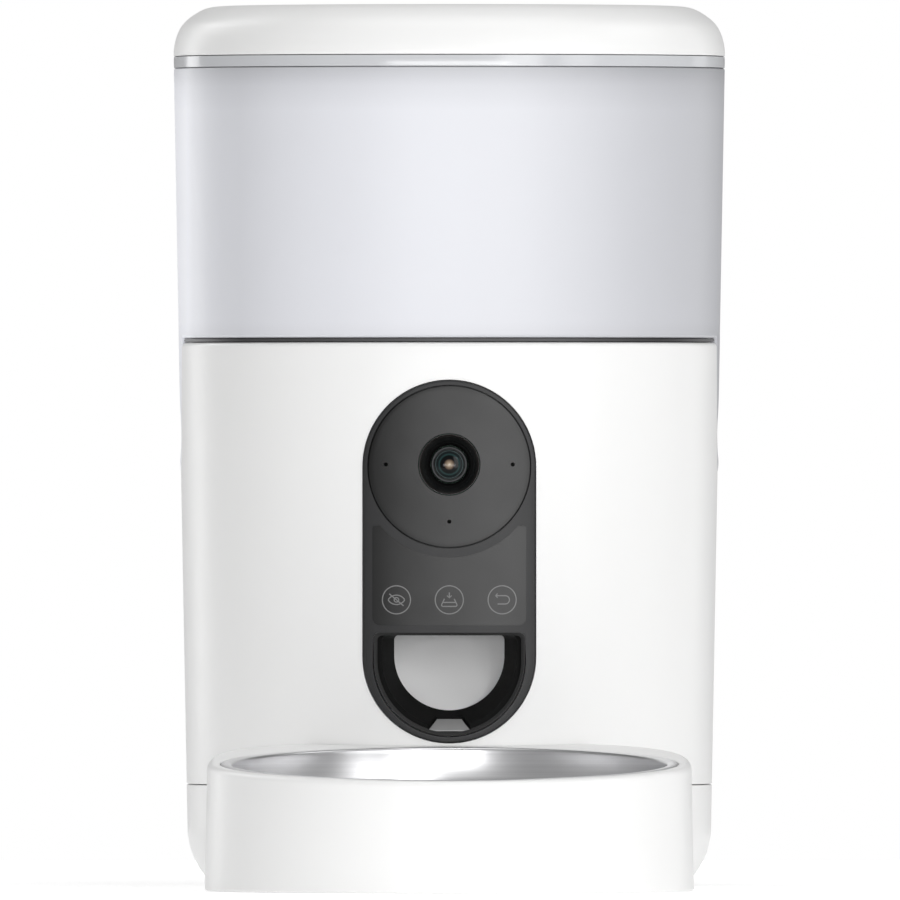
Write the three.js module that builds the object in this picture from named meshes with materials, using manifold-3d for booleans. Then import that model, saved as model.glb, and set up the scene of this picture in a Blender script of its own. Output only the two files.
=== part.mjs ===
// Automatic pet feeder with a camera, as an assembly of separate pieces, in millimetres, +Z up.
// The food hopper with its lid stands on a drafted body of soft square plan. A rotor under the hopper
// drops portions down a chute, out of a round-ended front panel and into a steel bowl in a tray.
// Pieces are worked out about the body's upright axis, with the front towards -Y. The finished group is
// moved so that the origin is under the middle of the whole, at the level that the feet stand on.

import * as THREE from "three";
import { mergeVertices } from "three/addons/utils/BufferGeometryUtils.js";
import Module from "manifold-3d";

const wasm = await Module();
wasm.setup();

// Form of the body: its plan is a superellipse, and its sides lean out by the draft
const planPower = 2.35;
const floorHalfWidth = 91.84;
const draftSlope = 0.018;
const shellWall = 2.6;

// Heights, from the floor up
const footHeight = 3;
const panHeight = 32.7;
const shellHeight = 155.2;
const ringGap = 1.6;
const hopperHeight = 94.8;
const bandHeight = 3.8;
const lidHeight = 17.7;
const seam = 0.3;
const seat = 0.3;
const overrun = 4;

const panZ = footHeight;
const shellZ = panZ + panHeight + seam;
const shellTop = shellZ + shellHeight;
const hopperZ = shellTop + ringGap;
const hopperTop = hopperZ + hopperHeight;
const bandZ = hopperTop + seam;
const lidZ = bandZ + bandHeight + seam;
const lidTop = lidZ + lidHeight;
const halfAt = (z) => floorHalfWidth + draftSlope * z;

// Fineness of the turned pieces
const ringSides = 32;
const roundSides = 20;
const smallSides = 10;
const arcSteps = 5;
const roundSteps = 12;
const fewSteps = 2;

// Base pan
const panFloor = 5;
const panEdgeRadius = 27.5;
const panEdgeTop = 20.9;
const bossRadius = 5.5;
const bossCircle = 76;
const bossTurn = 20;
const screwHeadRadius = 2.8;
const screwHeadHeight = 2.2;
const screwRadius = 1.5;
const screwLength = 14;
const screwSeatDepth = 7.5;
const screwRoom = 0.5;
const postHeight = 20;
const postWeb = 2;
const footRadius = 8;
const footInset = 50;
const footRecess = 0.8;

// Battery bay: three cells of 34 mm lie side by side in it
const cellDiameter = 34;
const cellLength = 61.5;
const cellRoom = 1.3;
const bayMiddle = -4;
const bayWall = 1.8;
const bayCells = 3;
const coverThickness = 2.2;
const coverLap = 2;
const coverLip = 1.6;
const coverSkin = 1.1;
const coverRoom = 0.3;
const contactThickness = 0.6;
const contactHeight = 20;
const contactDimple = 5;
const contactDimpleDepth = 1;

// Well in the top of the body, and the gasket on it
const wellFlange = 2.5;
const shellEdge = 1.75;
const shellLedge = 2.5;
const wellWall = 2.2;
const wellFloor = 2.3;
const driveRoom = 84.4;
const wellConeRise = 3;
const wellSideGap = 5.9;
const wellRimGap = 8.5;
const gasketRecess = 0.8;
const gasketWidth = 5.6;
const gasketHeight = 1.3;

// Hopper
const hopperWall = 2.4;
const hopperEdge = 1.2;
const hopperFlange = 8.7;
const neckRise = 30.8;
const neckRadius = 52;
const neckWall = 2.2;
const neckLength = 11.8;
const tabHalfTop = 21.5;
const tabHalfLow = 15;
const tabDrop = 47.1;
const tabThickness = 2;
const tabRoom = 0.4;
const tabBack = 2.2;
const tabRise = 4;

// Portion chamber and rotor
const chamberRoom = 0.4;
const chamberWall = 2.4;
const chamberHeight = 24;
const chamberFloor = 2.2;
const chamberLift = 1.8;
const dropInner = 20;
const dropOuter = 48;
const dropHalfAngle = 24;
const hubHole = 8.5;
const vaneCount = 6;
const vaneThickness = 3;
const vaneHeight = 14;
const vaneTipRoom = 0.8;
const hubRadius = 10.5;
const hubHeight = 17.5;
const socketDepth = 9.5;
const baffleThickness = 1.8;
const baffleLift = 0.6;
const baffleHalfAngle = 35;
const baffleInner = 12.5;
const stirrerHeight = 22;
const stirrerTip = 3;
const stirrerReach = 30;
const stirrerBlade = 3;
const stirrerBladeHeight = 7;
const stirrerBladeLift = 4;

// Drive
const couplerRadius = 6.2;
const couplerRoom = 0.5;
const couplerHeight = 11;
const couplerCap = 2;
const couplerLift = 0.6;
const couplerSides = 6;
const shaftRadius = 4;
const bushRadius = 7;
const gearModule = 1;
const gearTeeth = 32;
const pinionTeeth = 14;
const gearWidth = 6;
const pinionWidth = 7;
const toothAddendum = 0.8;
const toothDedendum = 1.15;
const toothPlay = 0.24;
const pressureAngle = 20;
const gearDrop = 20;
const casePostRadius = 3;
const casePostSide = 14;
const casePostBack = 2;
const caseWall = 1.8;
const caseRoom = 1;
const caseFloor = 2;
const motorRadius = 12;
const motorHeight = 30;
const motorShaftRadius = 1.5;
const motorShaftDepth = 4;

// Front panel with camera, touch keys and food outlet
const panelShare = 0.1943;
const panelProud = 0.9;
const panelThickness = 4;
const panelAbove = 13.45;
const panelBelow = 14.95;
const panelRoom = 0.3;
const discInset = 1.75;
const discThickness = 2.2;
const lensRise = 0.75;
const lensHoodRadius = 10.6;
const lensHoodDepth = 8;
const lensConeDepth = 4.6;
const hoodLip = 0.5;
const barrelRadius = 6.3;
const barrelRoom = 0.4;
const barrelLength = 13;
const barrelInset = 3.6;
const glassRadius = 5.1;
const glassSag = 1.5;
const glassThickness = 1.6;
const micHoleRadius = 0.55;
const micHoleInset = 6.2;
const micHoleDrop = 20;
const touchInset = 3.2;
const touchRise = 10.9;
const touchShoulderDrop = 21.2;
const touchArcGap = 3.4;
const touchCorner = 2.8;
const touchThickness = 1.4;
const touchBoardInset = 2.95;
const touchBoardThickness = 1.2;
const cameraBoardHalf = 18;
const boardThickness = 1.6;
const cameraPostRadius = 2;
const cameraPostSpread = 15;
const sensorHalf = 8;
const sensorDepth = 3.4;

// Food outlet
const outletInset = 2.25;
const outletTopRise = 8.3;
const mouthInset = 4.95;
const mouthDrop = 1.2;
const windowInset = 10.85;
const windowRise = 0.4;
const windowTopDrop = 0.8;
const windowCorner = 1.75;
const mouthTop = 0.9;
const sleeveWall = 3;
const sleeveDepth = 18.2;
const sleeveFlange = 5;
const lipBackHalf = 4.8;
const lipFrontHalf = 8;
const lipBackInset = 3.1;
const lipFrontReach = 1.1;
const lipLength = 10;
const lipInset = 1.5;

// Chute
const chuteSideRoom = 0.7;
const chuteWall = 1.8;
const chuteShoulder = 6.6;
const chuteRoofDrop = 18.6;
const chuteSpare = 1;
const chuteNoseRoom = 2;

// Rear panel with speaker, power inlet and reset button
const rearHalfWidth = 40;
const rearBelow = 17;
const rearAbove = 27;
const rearCorner = 6;
const rearThickness = 2.4;
const rearLedge = 8;
const rearLedgeThickness = 2;
const rearPostRadius = 3.2;
const slotCount = 5;
const slotPitch = 5;
const slotHalfWidth = 1.1;
const slotHalfLength = 12;
const speakerRise = 57.2;
const speakerRadius = 17;
const speakerDepth = 9;
const speakerRim = 2;
const speakerMagnet = 10;
const inletDrop = 28;
const inletSide = 15;
const inletHalfWidth = 8;
const inletHalfHeight = 5;
const inletDepth = 6;
const inletWall = 1.6;
const usbHalfWidth = 4.6;
const usbHalfHeight = 1.7;
const usbDepth = 5;
const usbNose = 1;
const usbShell = 0.6;
const socketHalfWidth = 6.5;
const socketHalfHeight = 3.6;
const socketBody = 8;
const resetSide = 14;
const resetRadius = 3;
const resetRoom = 0.4;
const resetLength = 6;
const resetFlange = 0.9;
const resetProud = 0.6;
const rearScrewRadius = 1.4;
const rearScrewHead = 2.6;
const rearScrewHeadHeight = 1.2;
const rearScrewLength = 7;
const rearScrewSink = 0.2;
const rearPostLength = 6;

// Main board on top of the battery bay
const mainHalfLength = 44;
const mainHalfWidth = 28;
const mainPostHeight = 4;
const mainPostRadius = 2.5;
const mainPostInset = 6;
const chipHeight = 8;
const chipShares = [
  { x: -0.36, y: 0.14, wide: 0.25, long: 0.16, tall: 0.2 },
  { x: 0.4, y: -0.3, wide: 0.28, long: 0.24, tall: 0.32 },
  { x: -0.5, y: -0.6, wide: 0.14, long: 0.11, tall: 1 },
];

// Lid
const lidWall = 2.4;
const lidEdgeWidth = 17.6;
const lidEdgeHeight = 14.1;
const lidCrown = 0.5;
const linerWall = 2;
const linerBand = 1.4;
const skirtGap = 2;
const skirtDepth = 9.7;
const sealWidth = 1.4;
const sealHeight = 3;
const sealRise = 3.6;
const sachetRadius = 32;
const sachetWall = 1.6;
const sachetDepth = 15;
const sachetCapHeight = 2.2;
const sachetCapRoom = 0.7;
const sachetSlots = 6;
const sachetSlotHalf = 1.6;
const sachetSlotInner = 10;
const sachetSlotOuter = 25;

// Tray and bowl
const trayRadius = 84.3;
const trayDraft = 0.0194;
const trayRearDepth = 101;
const trayRearPower = 3;
const trayFloor = 2.6;
const rimTilt = 3.83;
const rimHeight = 44.3;
const bowlRadius = 79.5;
const bowlRimWidth = 2.9;
const bowlSteel = 0.8;
const bowlDepth = 34;
const bowlFloorRadius = 52;
const bowlRoom = 1.4;
const bowlBackWall = 2.5;
const trayGap = 0.6;
const clipSide = 30;
const clipHalfWidth = 8;
const clipHeight = 12;
const clipThickness = 4;
const clipReach = 9;
const clipRoom = 0.4;

// Front panel: its radius keeps step with the body's height, and what it holds keeps step with its radius
const panelRadius = shellHeight * panelShare;
const cameraHeight = shellTop - panelAbove - panelRadius;
const outletHeight = shellZ + panelBelow + panelRadius;
const discRadius = panelRadius - discInset;
const micHoleSide = discRadius - micHoleInset;
const touchHalfWidth = panelRadius - touchInset;
const touchBoardHalf = touchHalfWidth - touchBoardInset;
const touchBottom = outletHeight + touchRise;
const touchShoulder = cameraHeight - touchShoulderDrop;
const outletRadius = panelRadius - outletInset;
const outletTop = outletHeight + outletTopRise;
const mouthRadius = panelRadius - mouthInset;
const mouthHeight = outletHeight - mouthDrop;
const windowRadius = panelRadius - windowInset;
const windowHeight = outletHeight + windowRise;
const windowTop = outletTop - windowTopDrop;
const lipBackHeight = outletHeight - mouthRadius + lipBackInset;
const lipFrontHeight = outletHeight - mouthRadius - lipFrontReach;
const chuteHalfWidth = windowRadius + chuteSideRoom;

// Rear panel, up from the foot of the body
const speakerHeight = shellZ + speakerRise;
const inletHeight = speakerHeight - inletDrop;
const rearLow = inletHeight - rearBelow;
const rearHigh = speakerHeight + rearAbove;

// Plan: round inside the well, soft square at the walls
const roundRadius = neckRadius + neckWall + chamberWall;
const squareRadius = floorHalfWidth - shellWall * 2;

const material = (color, roughness, metalness = 0, opacity = 1) =>
  new THREE.MeshStandardMaterial({ color, roughness, metalness, opacity, transparent: opacity < 1 });
const white = material(0xf1f1f0, 0.42);
const frosted = material(0xd7d9de, 0.5, 0, 0.6);
const black = material(0x1b1b1c, 0.5);
const darkGloss = material(0x2c2c2d, 0.3);
const rubber = material(0x2b2b2d, 0.85);
const silicone = material(0xcfd2d4, 0.7);
const grey = material(0x9a9c9e, 0.5);
const innerGrey = material(0xc9cbcc, 0.5);
const steel = material(0xc7c8ca, 0.25, 1);
const zinc = material(0xa9abad, 0.4, 1);
const boardGreen = material(0x1e5a3c, 0.6);
const glass = material(0x10161a, 0.05, 0, 0.5);

const radians = THREE.MathUtils.degToRad;
const point = (x, y) => new THREE.Vector2(x, y);

// Solids: a closed three.js geometry goes in, and comes back as one after cuts and joins
function solidOf(geometry) {
  const bare = geometry.clone();
  bare.deleteAttribute("normal");
  bare.deleteAttribute("uv");
  const merged = mergeVertices(bare, 1e-4);
  return new wasm.Manifold(new wasm.Mesh({
    numProp: 3,
    vertProperties: merged.getAttribute("position").array,
    triVerts: new Uint32Array(merged.index.array),
  }));
}

function geometryOf(solid) {
  const made = solid.getMesh();
  const geometry = new THREE.BufferGeometry();
  geometry.setAttribute("position", new THREE.BufferAttribute(made.vertProperties, made.numProp));
  geometry.setIndex(new THREE.BufferAttribute(made.triVerts, 1));
  const flat = geometry.toNonIndexed();
  flat.computeVertexNormals();
  return flat;
}

const joined = (...solids) => solids.reduce((whole, next) => whole.add(next));
const cut = (solid, ...tools) => tools.reduce((left, tool) => left.subtract(tool), solid);

// A profile of radius and height, turned about the upright axis
function turnedGeometry(profile, sides = ringSides) {
  return new THREE.LatheGeometry(profile, sides).rotateX(Math.PI / 2);
}

const turned = (profile, sides = roundSides) => solidOf(turnedGeometry(profile, sides));

// Takes a round section to the body's soft square, the more the further out it lies
function onPlan(profile) {
  const geometry = turnedGeometry(profile);
  const at = geometry.getAttribute("position");
  for (let i = 0; i < at.count; i++) {
    const x = at.getX(i);
    const y = at.getY(i);
    const r = Math.hypot(x, y);
    if (r === 0) continue;
    const reach = ((Math.abs(x) / r) ** planPower + (Math.abs(y) / r) ** planPower) ** (-1 / planPower);
    const share = THREE.MathUtils.clamp((r - roundRadius) / (squareRadius - roundRadius), 0, 1);
    const scale = 1 + (reach - 1) * share;
    at.setXY(i, x * scale, y * scale);
  }
  return solidOf(geometry);
}

const closed = (points) => [...points, points[0].clone()];
const arc = (x, y, rx, ry, from, to, steps) =>
  new THREE.EllipseCurve(x, y, rx, ry, radians(from), radians(to), to < from).getPoints(steps);

// The body's outer form, grown by an offset, between two heights
const column = (offset, low = 0, high = lidTop) =>
  onPlan([
    point(0, low),
    point(halfAt(low) + offset, low),
    point(halfAt(high) + offset, high),
    point(0, high),
  ]);

// How far the body's form reaches from its middle plane, this far to the side
const reachAt = (z, offset = 0, aside = 0) =>
  ((halfAt(z) + offset) ** planPower - Math.abs(aside) ** planPower) ** (1 / planPower);

// A plate that follows the body's outer form, between two offsets, where a prism stands
const curvedPlate = (prismSolid, outer, inner) => prismSolid.intersect(column(outer)).subtract(column(inner));

// Prisms: an outline seen from the front goes back along Y, one seen from the side goes across X,
// and one seen from above goes up Z
const extruded = (shape, length, steps) =>
  new THREE.ExtrudeGeometry(shape, { depth: length, bevelEnabled: false, curveSegments: steps });
const frontPrism = (shape, near, far, steps = arcSteps) =>
  solidOf(extruded(shape, far - near, steps).rotateX(Math.PI / 2).translate(0, far, 0));
const sidePrism = (shape, left, right, steps = arcSteps) =>
  solidOf(extruded(shape, right - left, steps)
    .rotateZ(Math.PI / 2)
    .rotateY(Math.PI / 2)
    .translate(left, 0, 0));
const upPrism = (shape, low, high, steps = arcSteps) =>
  solidOf(extruded(shape, high - low, steps).translate(0, 0, low));

function block(x0, x1, y0, y1, z0, z1) {
  const box = new THREE.BoxGeometry(x1 - x0, y1 - y0, z1 - z0);
  return solidOf(box.translate((x0 + x1) / 2, (y0 + y1) / 2, (z0 + z1) / 2));
}

function rod(radius, low, high, x = 0, y = 0, sides = smallSides) {
  const profile = [point(0, low), point(radius, low), point(radius, high), point(0, high)];
  return solidOf(turnedGeometry(profile, sides).translate(x, y, 0));
}

// A rod along Y, from near to far
function bar(radius, near, far, x, z, sides = smallSides) {
  const profile = [point(0, -far), point(radius, -far), point(radius, -near), point(0, -near)];
  return solidOf(turnedGeometry(profile, sides).rotateX(Math.PI / 2).translate(x, 0, z));
}

// Outlines, all seen from the front, as x and height
function stadium(radius, low, high) {
  const shape = new THREE.Shape();
  shape.absarc(0, low, radius, Math.PI, 2 * Math.PI);
  shape.absarc(0, high, radius, 0, Math.PI);
  shape.closePath();
  return shape;
}

function roundedBox(left, right, low, high, corner) {
  const shape = new THREE.Shape();
  shape.absarc(left + corner, low + corner, corner, Math.PI, 1.5 * Math.PI);
  shape.absarc(right - corner, low + corner, corner, 1.5 * Math.PI, 2 * Math.PI);
  shape.absarc(right - corner, high - corner, corner, 0, 0.5 * Math.PI);
  shape.absarc(left + corner, high - corner, corner, 0.5 * Math.PI, Math.PI);
  shape.closePath();
  return shape;
}

// Half round below, straight sides and a flat top with small corners
function hoodShape(radius, middle, top, corner) {
  const shape = new THREE.Shape();
  shape.absarc(0, middle, radius, Math.PI, 2 * Math.PI);
  shape.absarc(radius - corner, top - corner, corner, 0, 0.5 * Math.PI);
  shape.absarc(corner - radius, top - corner, corner, 0.5 * Math.PI, Math.PI);
  shape.closePath();
  return shape;
}

function circle(radius, x = 0, z = 0) {
  const shape = new THREE.Shape();
  shape.absarc(x, z, radius, 0, 2 * Math.PI);
  return shape;
}

function polygon(points) {
  return new THREE.Shape(points);
}

// The touch panel: a box with rounded corners under a hollow that runs round the camera disc
function touchShape(grow = 0) {
  const half = touchHalfWidth + grow;
  const low = touchBottom - grow;
  const shoulder = touchShoulder + grow;
  const arcRadius = discRadius + touchArcGap - grow;
  const arcStart = half - touchCorner;
  const arcAngle = Math.atan2(-Math.sqrt(arcRadius ** 2 - arcStart ** 2), arcStart);
  const arcZ = cameraHeight + arcRadius * Math.sin(arcAngle);
  const shape = new THREE.Shape();
  shape.absarc(touchCorner - half, low + touchCorner, touchCorner, Math.PI, 1.5 * Math.PI);
  shape.absarc(half - touchCorner, low + touchCorner, touchCorner, 1.5 * Math.PI, 2 * Math.PI);
  shape.lineTo(half, shoulder);
  shape.quadraticCurveTo(half, arcZ, arcStart, arcZ);
  shape.absarc(0, cameraHeight, arcRadius, arcAngle, Math.PI - arcAngle - 2 * Math.PI, true);
  shape.quadraticCurveTo(-half, arcZ, -half, shoulder);
  shape.closePath();
  return shape;
}

const rearShape = (grow = 0) => roundedBox(
  -rearHalfWidth - grow, rearHalfWidth + grow, rearLow - grow, rearHigh + grow,
  rearCorner + Math.max(grow, -rearCorner / 2),
);

// The side tab of the hopper, seen from the side as y and height, round at its foot
function tabShape(grow = 0) {
  const top = hopperZ + tabRise + grow;
  const foot = hopperZ - tabDrop - grow;
  const low = foot + tabHalfLow;
  const shape = new THREE.Shape();
  shape.absarc(0, low, tabHalfLow + grow, Math.PI, 2 * Math.PI);
  shape.lineTo(tabHalfTop + grow, hopperZ);
  shape.lineTo(tabHalfTop + grow, top);
  shape.lineTo(-tabHalfTop - grow, top);
  shape.lineTo(-tabHalfTop - grow, hopperZ);
  shape.closePath();
  return shape;
}

// A ring sector seen from above, towards the front
function sector(inner, outer, halfAngle) {
  const shape = new THREE.Shape();
  const middle = -Math.PI / 2;
  const half = radians(halfAngle);
  shape.absarc(0, 0, outer, middle - half, middle + half);
  shape.absarc(0, 0, inner, middle + half, middle - half, true);
  shape.closePath();
  return shape;
}

// A solid with straight edges from one front outline to another of as many points
function between(nearShape, near, farShape, far) {
  const nearPoints = nearShape.getPoints(arcSteps);
  const farPoints = farShape.getPoints(arcSteps);
  if (nearPoints.at(-1).distanceTo(nearPoints[0]) < 1e-6) {
    nearPoints.pop();
    farPoints.pop();
  }
  const places = [];
  const add = (p, y) => places.push(p.x, y, p.y);
  nearPoints.forEach((a, i) => {
    const j = (i + 1) % nearPoints.length;
    const b = nearPoints[j];
    const c = farPoints[j];
    const d = farPoints[i];
    [[a, near], [d, far], [b, near], [b, near], [d, far], [c, far]].forEach(([p, y]) => add(p, y));
  });
  THREE.ShapeUtils.triangulateShape(nearPoints, []).forEach(([i, j, k]) => {
    [i, j, k].forEach((n) => add(nearPoints[n], near));
    [k, j, i].forEach((n) => add(farPoints[n], far));
  });
  const geometry = new THREE.BufferGeometry();
  geometry.setAttribute("position", new THREE.Float32BufferAttribute(places, 3));
  return solidOf(geometry);
}

// Prisms that run right through the front or the rear wall of the body
const frontCut = (shape, steps) => frontPrism(shape, -halfAt(lidTop) - overrun, -halfAt(0) / 2, steps);
const rearPrism = (shape, steps) => frontPrism(shape, halfAt(0) / 2, halfAt(lidTop) + overrun, steps);

// A plate on the left or right side of the body, between two offsets from its form
function sideSlab(side, shape, outer, inner) {
  const near = halfAt(0) / 2;
  const far = halfAt(lidTop) + overrun;
  const prism = side < 0 ? sidePrism(shape, -far, -near) : sidePrism(shape, near, far);
  return curvedPlate(prism, outer, inner);
}

// An upright blade that points away from the middle at an angle
function web(degrees, from, to, thickness, low, high) {
  const box = new THREE.BoxGeometry(to - from, thickness, high - low);
  return solidOf(box.translate((from + to) / 2, 0, (low + high) / 2).rotateZ(radians(degrees)));
}

// A profile of radius and depth, turned about a line along Y at a height
function alongY(profile, height, solid = false) {
  const points = profile.map((p) => point(p.x, -p.y));
  const geometry = turnedGeometry(solid ? points : closed(points), roundSides);
  return solidOf(geometry.rotateX(Math.PI / 2).translate(0, 0, height));
}

const sides = [-1, 1];

// Screw towers stand in four places round the base
const towers = [bossTurn, 180 - bossTurn, 180 + bossTurn, 360 - bossTurn].map((degrees) => ({
  degrees,
  x: bossCircle * Math.cos(radians(degrees)),
  y: bossCircle * Math.sin(radians(degrees)),
}));
const feet = [
  ["front_left", -1, -1],
  ["front_right", 1, -1],
  ["rear_left", -1, 1],
  ["rear_right", 1, 1],
];

// Battery bay sizes
const bayHalfX = (cellLength + cellRoom * 2) / 2 + contactThickness * 2;
const bayHalfY = (cellDiameter * bayCells + cellRoom * 2) / 2;
const bayFront = bayMiddle - bayHalfY;
const bayRear = bayMiddle + bayHalfY;
const coverTop = panZ + coverThickness;
const bayCeiling = coverTop + cellDiameter + cellRoom;
const panFloorTop = panZ + panFloor;
const screwSeat = shellZ - seam - screwSeatDepth;

// Places of the tray and of its clips, which reach through slots in the base
const traySeat = halfAt(rimHeight) + trayGap;
const trayY = -(traySeat + bowlBackWall + bowlRoom + bowlRadius);
const clips = [-clipSide, clipSide];
const clipSlotNear = -halfAt(0);

// Places of the tabs, the well, the portion chamber and the drive
const tabSeat = tabThickness + tabRoom + draftSlope * tabDrop;
const wellTop = shellZ + driveRoom;
const neckTop = wellTop + neckRise;
const coneFoot = neckTop + wellConeRise;
const wellUnder = wellTop - wellFloor;
const chamberZ = wellTop + chamberLift;
const rotorZ = chamberZ + chamberFloor + chamberRoom;
const couplerZ = wellTop + couplerLift;
const gearZ = wellUnder - gearDrop;
const pinionZ = gearZ - (pinionWidth - gearWidth) / 2;
const gearSpacing = (gearModule * (gearTeeth + pinionTeeth)) / 2;
const gearReach = (gearModule * gearTeeth) / 2 + toothAddendum + caseRoom;
const pinionReach = (gearModule * pinionTeeth) / 2 + toothAddendum + caseRoom;
const caseZ = gearZ - caseRoom - caseFloor;
const caseLidZ = gearZ + gearWidth + caseRoom;
const caseLidTop = caseLidZ + caseWall;
const motorTop = caseZ - seat;
const casePosts = [[-casePostSide, casePostBack], [casePostSide, casePostBack]];

// Places of what sits in the front panel
const lensHeight = cameraHeight + lensRise;
const panelFace = -halfAt(lensHeight) - panelProud;
const cameraBoardFront = panelFace + barrelInset + barrelLength + seat;
const cameraPosts = sides.flatMap((sx) => sides.map((sz) =>
  [sx * cameraPostSpread, cameraHeight + sz * cameraPostSpread]));
const sleeveFront = -halfAt(outletTop) - panelProud;
const sleeveBack = sleeveFront + sleeveDepth;
const chuteTop = wellUnder - seat;
const chuteFront = sleeveBack + seat;
const chuteBack = -dropInner + chuteSpare;
const chuteNose = -dropOuter - chuteNoseRoom;
const chuteFoot = windowHeight - windowRadius - chuteSpare / 2;
const chuteHead = windowTop + chuteSpare / 2;

// Places of what sits in the rear panel
const inletBack = reachAt(inletHeight, 0, inletSide + inletHalfWidth) - inletDepth;
const rearScrews = [rearLow + rearLedge / 2, rearHigh - rearLedge / 2];
const rearScrewTop = (z) => reachAt(z, 0, rearScrewHead) - rearScrewSink;
const rearScrewFace = (z) => reachAt(z, -rearThickness) - seam;

function basePan() {
  const top = panZ + panHeight;
  const edgeX = halfAt(panEdgeTop) - panEdgeRadius;
  const footAngle = -Math.asin((panEdgeTop - panZ) / panEdgeRadius);
  const turn = THREE.MathUtils.radToDeg(footAngle);
  const innerRadius = panEdgeRadius - shellWall;
  const innerAngle = THREE.MathUtils.radToDeg(-Math.asin((panEdgeTop - panFloorTop) / innerRadius));
  const skin = onPlan([
    point(0, panZ),
    ...arc(edgeX, panEdgeTop, panEdgeRadius, panEdgeRadius, turn, 0, 4),
    point(halfAt(top), top),
    point(halfAt(top) - shellWall, top),
    ...arc(edgeX, panEdgeTop, innerRadius, innerRadius, 0, innerAngle, 3),
    point(0, panFloorTop),
  ]);
  const bosses = towers.map(({ x, y }) => rod(bossRadius, panZ + panFloor / 2, top, x, y));
  const wells = towers.flatMap(({ x, y }) => [
    rod(screwHeadRadius + screwRoom, panZ - overrun, screwSeat, x, y),
    rod(screwRadius + screwRoom, panZ, top + overrun, x, y),
  ]);
  const channel = block(
    -bayHalfX - coverLap - coverRoom, bayHalfX + coverLap + coverRoom,
    bayFront - coverLap - coverRoom, halfAt(top) + overrun,
    panZ - overrun, coverTop + coverRoom,
  );
  const groove = block(
    -bayHalfX - coverLap - coverLip - coverRoom, bayHalfX + coverLap + coverLip + coverRoom,
    bayFront - coverLap - coverRoom, halfAt(top) + overrun,
    panZ + coverSkin - coverRoom, coverTop + coverRoom,
  );
  const mouth = block(-bayHalfX, bayHalfX, bayFront, bayRear, panZ, panFloorTop + overrun);
  const slots = clips.map((x) => block(
    x - clipHalfWidth - clipRoom, x + clipHalfWidth + clipRoom,
    clipSlotNear - overrun, -traySeat + clipReach + clipRoom * 2,
    clipHeight - clipRoom, clipHeight + clipThickness + clipRoom,
  ));
  const recesses = feet.map(([, sx, sy]) => rod(
    footRadius + coverRoom, panZ - overrun, panZ + footRecess, sx * footInset, sy * footInset, roundSides,
  ));
  return cut(joined(skin, ...bosses), ...wells, channel, groove, mouth, ...slots, ...recesses);
}

// The cover slides out to the rear, held by runners in the grooves of its channel, and its end follows
// the base's edge
function batteryCover() {
  const edgeX = halfAt(panEdgeTop) - panEdgeRadius;
  const turn = (z) => THREE.MathUtils.radToDeg(-Math.asin((panEdgeTop - z) / panEdgeRadius));
  const form = onPlan([
    point(0, panZ),
    ...arc(edgeX, panEdgeTop, panEdgeRadius, panEdgeRadius, turn(panZ), turn(coverTop), 2),
    point(0, coverTop),
  ]);
  const skin = block(
    -bayHalfX - coverLap, bayHalfX + coverLap, bayFront - coverLap, halfAt(coverTop),
    panZ - overrun, coverTop + overrun,
  );
  const runners = block(
    -bayHalfX - coverLap - coverLip, bayHalfX + coverLap + coverLip, bayFront - coverLap, halfAt(coverTop),
    panZ + coverSkin, coverTop + overrun,
  );
  return form.intersect(joined(skin, runners));
}

// The bay is open below, and carries the main board on four posts
function batteryBox() {
  const ceiling = bayCeiling + bayWall;
  const outer = block(
    -bayHalfX - bayWall, bayHalfX + bayWall, bayFront - bayWall, bayRear + bayWall, panFloorTop, ceiling,
  );
  const inner = block(-bayHalfX, bayHalfX, bayFront, bayRear, panFloorTop - overrun, bayCeiling);
  const posts = mainPosts.map(([x, y]) => rod(mainPostRadius, bayCeiling, ceiling + mainPostHeight, x, y));
  return joined(outer.subtract(inner), ...posts);
}

const mainZ = bayCeiling + bayWall + mainPostHeight;
const mainPosts = [-1, 1].flatMap((sx) => [-1, 1].map((sy) => [
  sx * (mainHalfWidth - mainPostInset),
  bayMiddle + sy * (mainHalfLength - mainPostInset),
]));

function contactStrip(side) {
  const wallX = side * (bayHalfX - seat);
  const faceX = side * (bayHalfX - seat - contactThickness);
  const middle = coverTop + cellDiameter / 2;
  const length = bayHalfY - cellRoom;
  const strip = block(
    Math.min(wallX, faceX), Math.max(wallX, faceX), bayMiddle - length, bayMiddle + length,
    middle - contactHeight / 2, middle + contactHeight / 2,
  );
  const dimples = Array.from({ length: bayCells }, (_, i) => {
    const y = bayMiddle + (i - (bayCells - 1) / 2) * cellDiameter;
    const tip = side * (bayHalfX - seat - contactThickness - contactDimpleDepth);
    const shape = circle(contactDimple, y, middle);
    return sidePrism(shape, Math.min(tip, wallX), Math.max(tip, wallX), fewSteps * 2);
  });
  return joined(strip, ...dimples);
}

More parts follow.
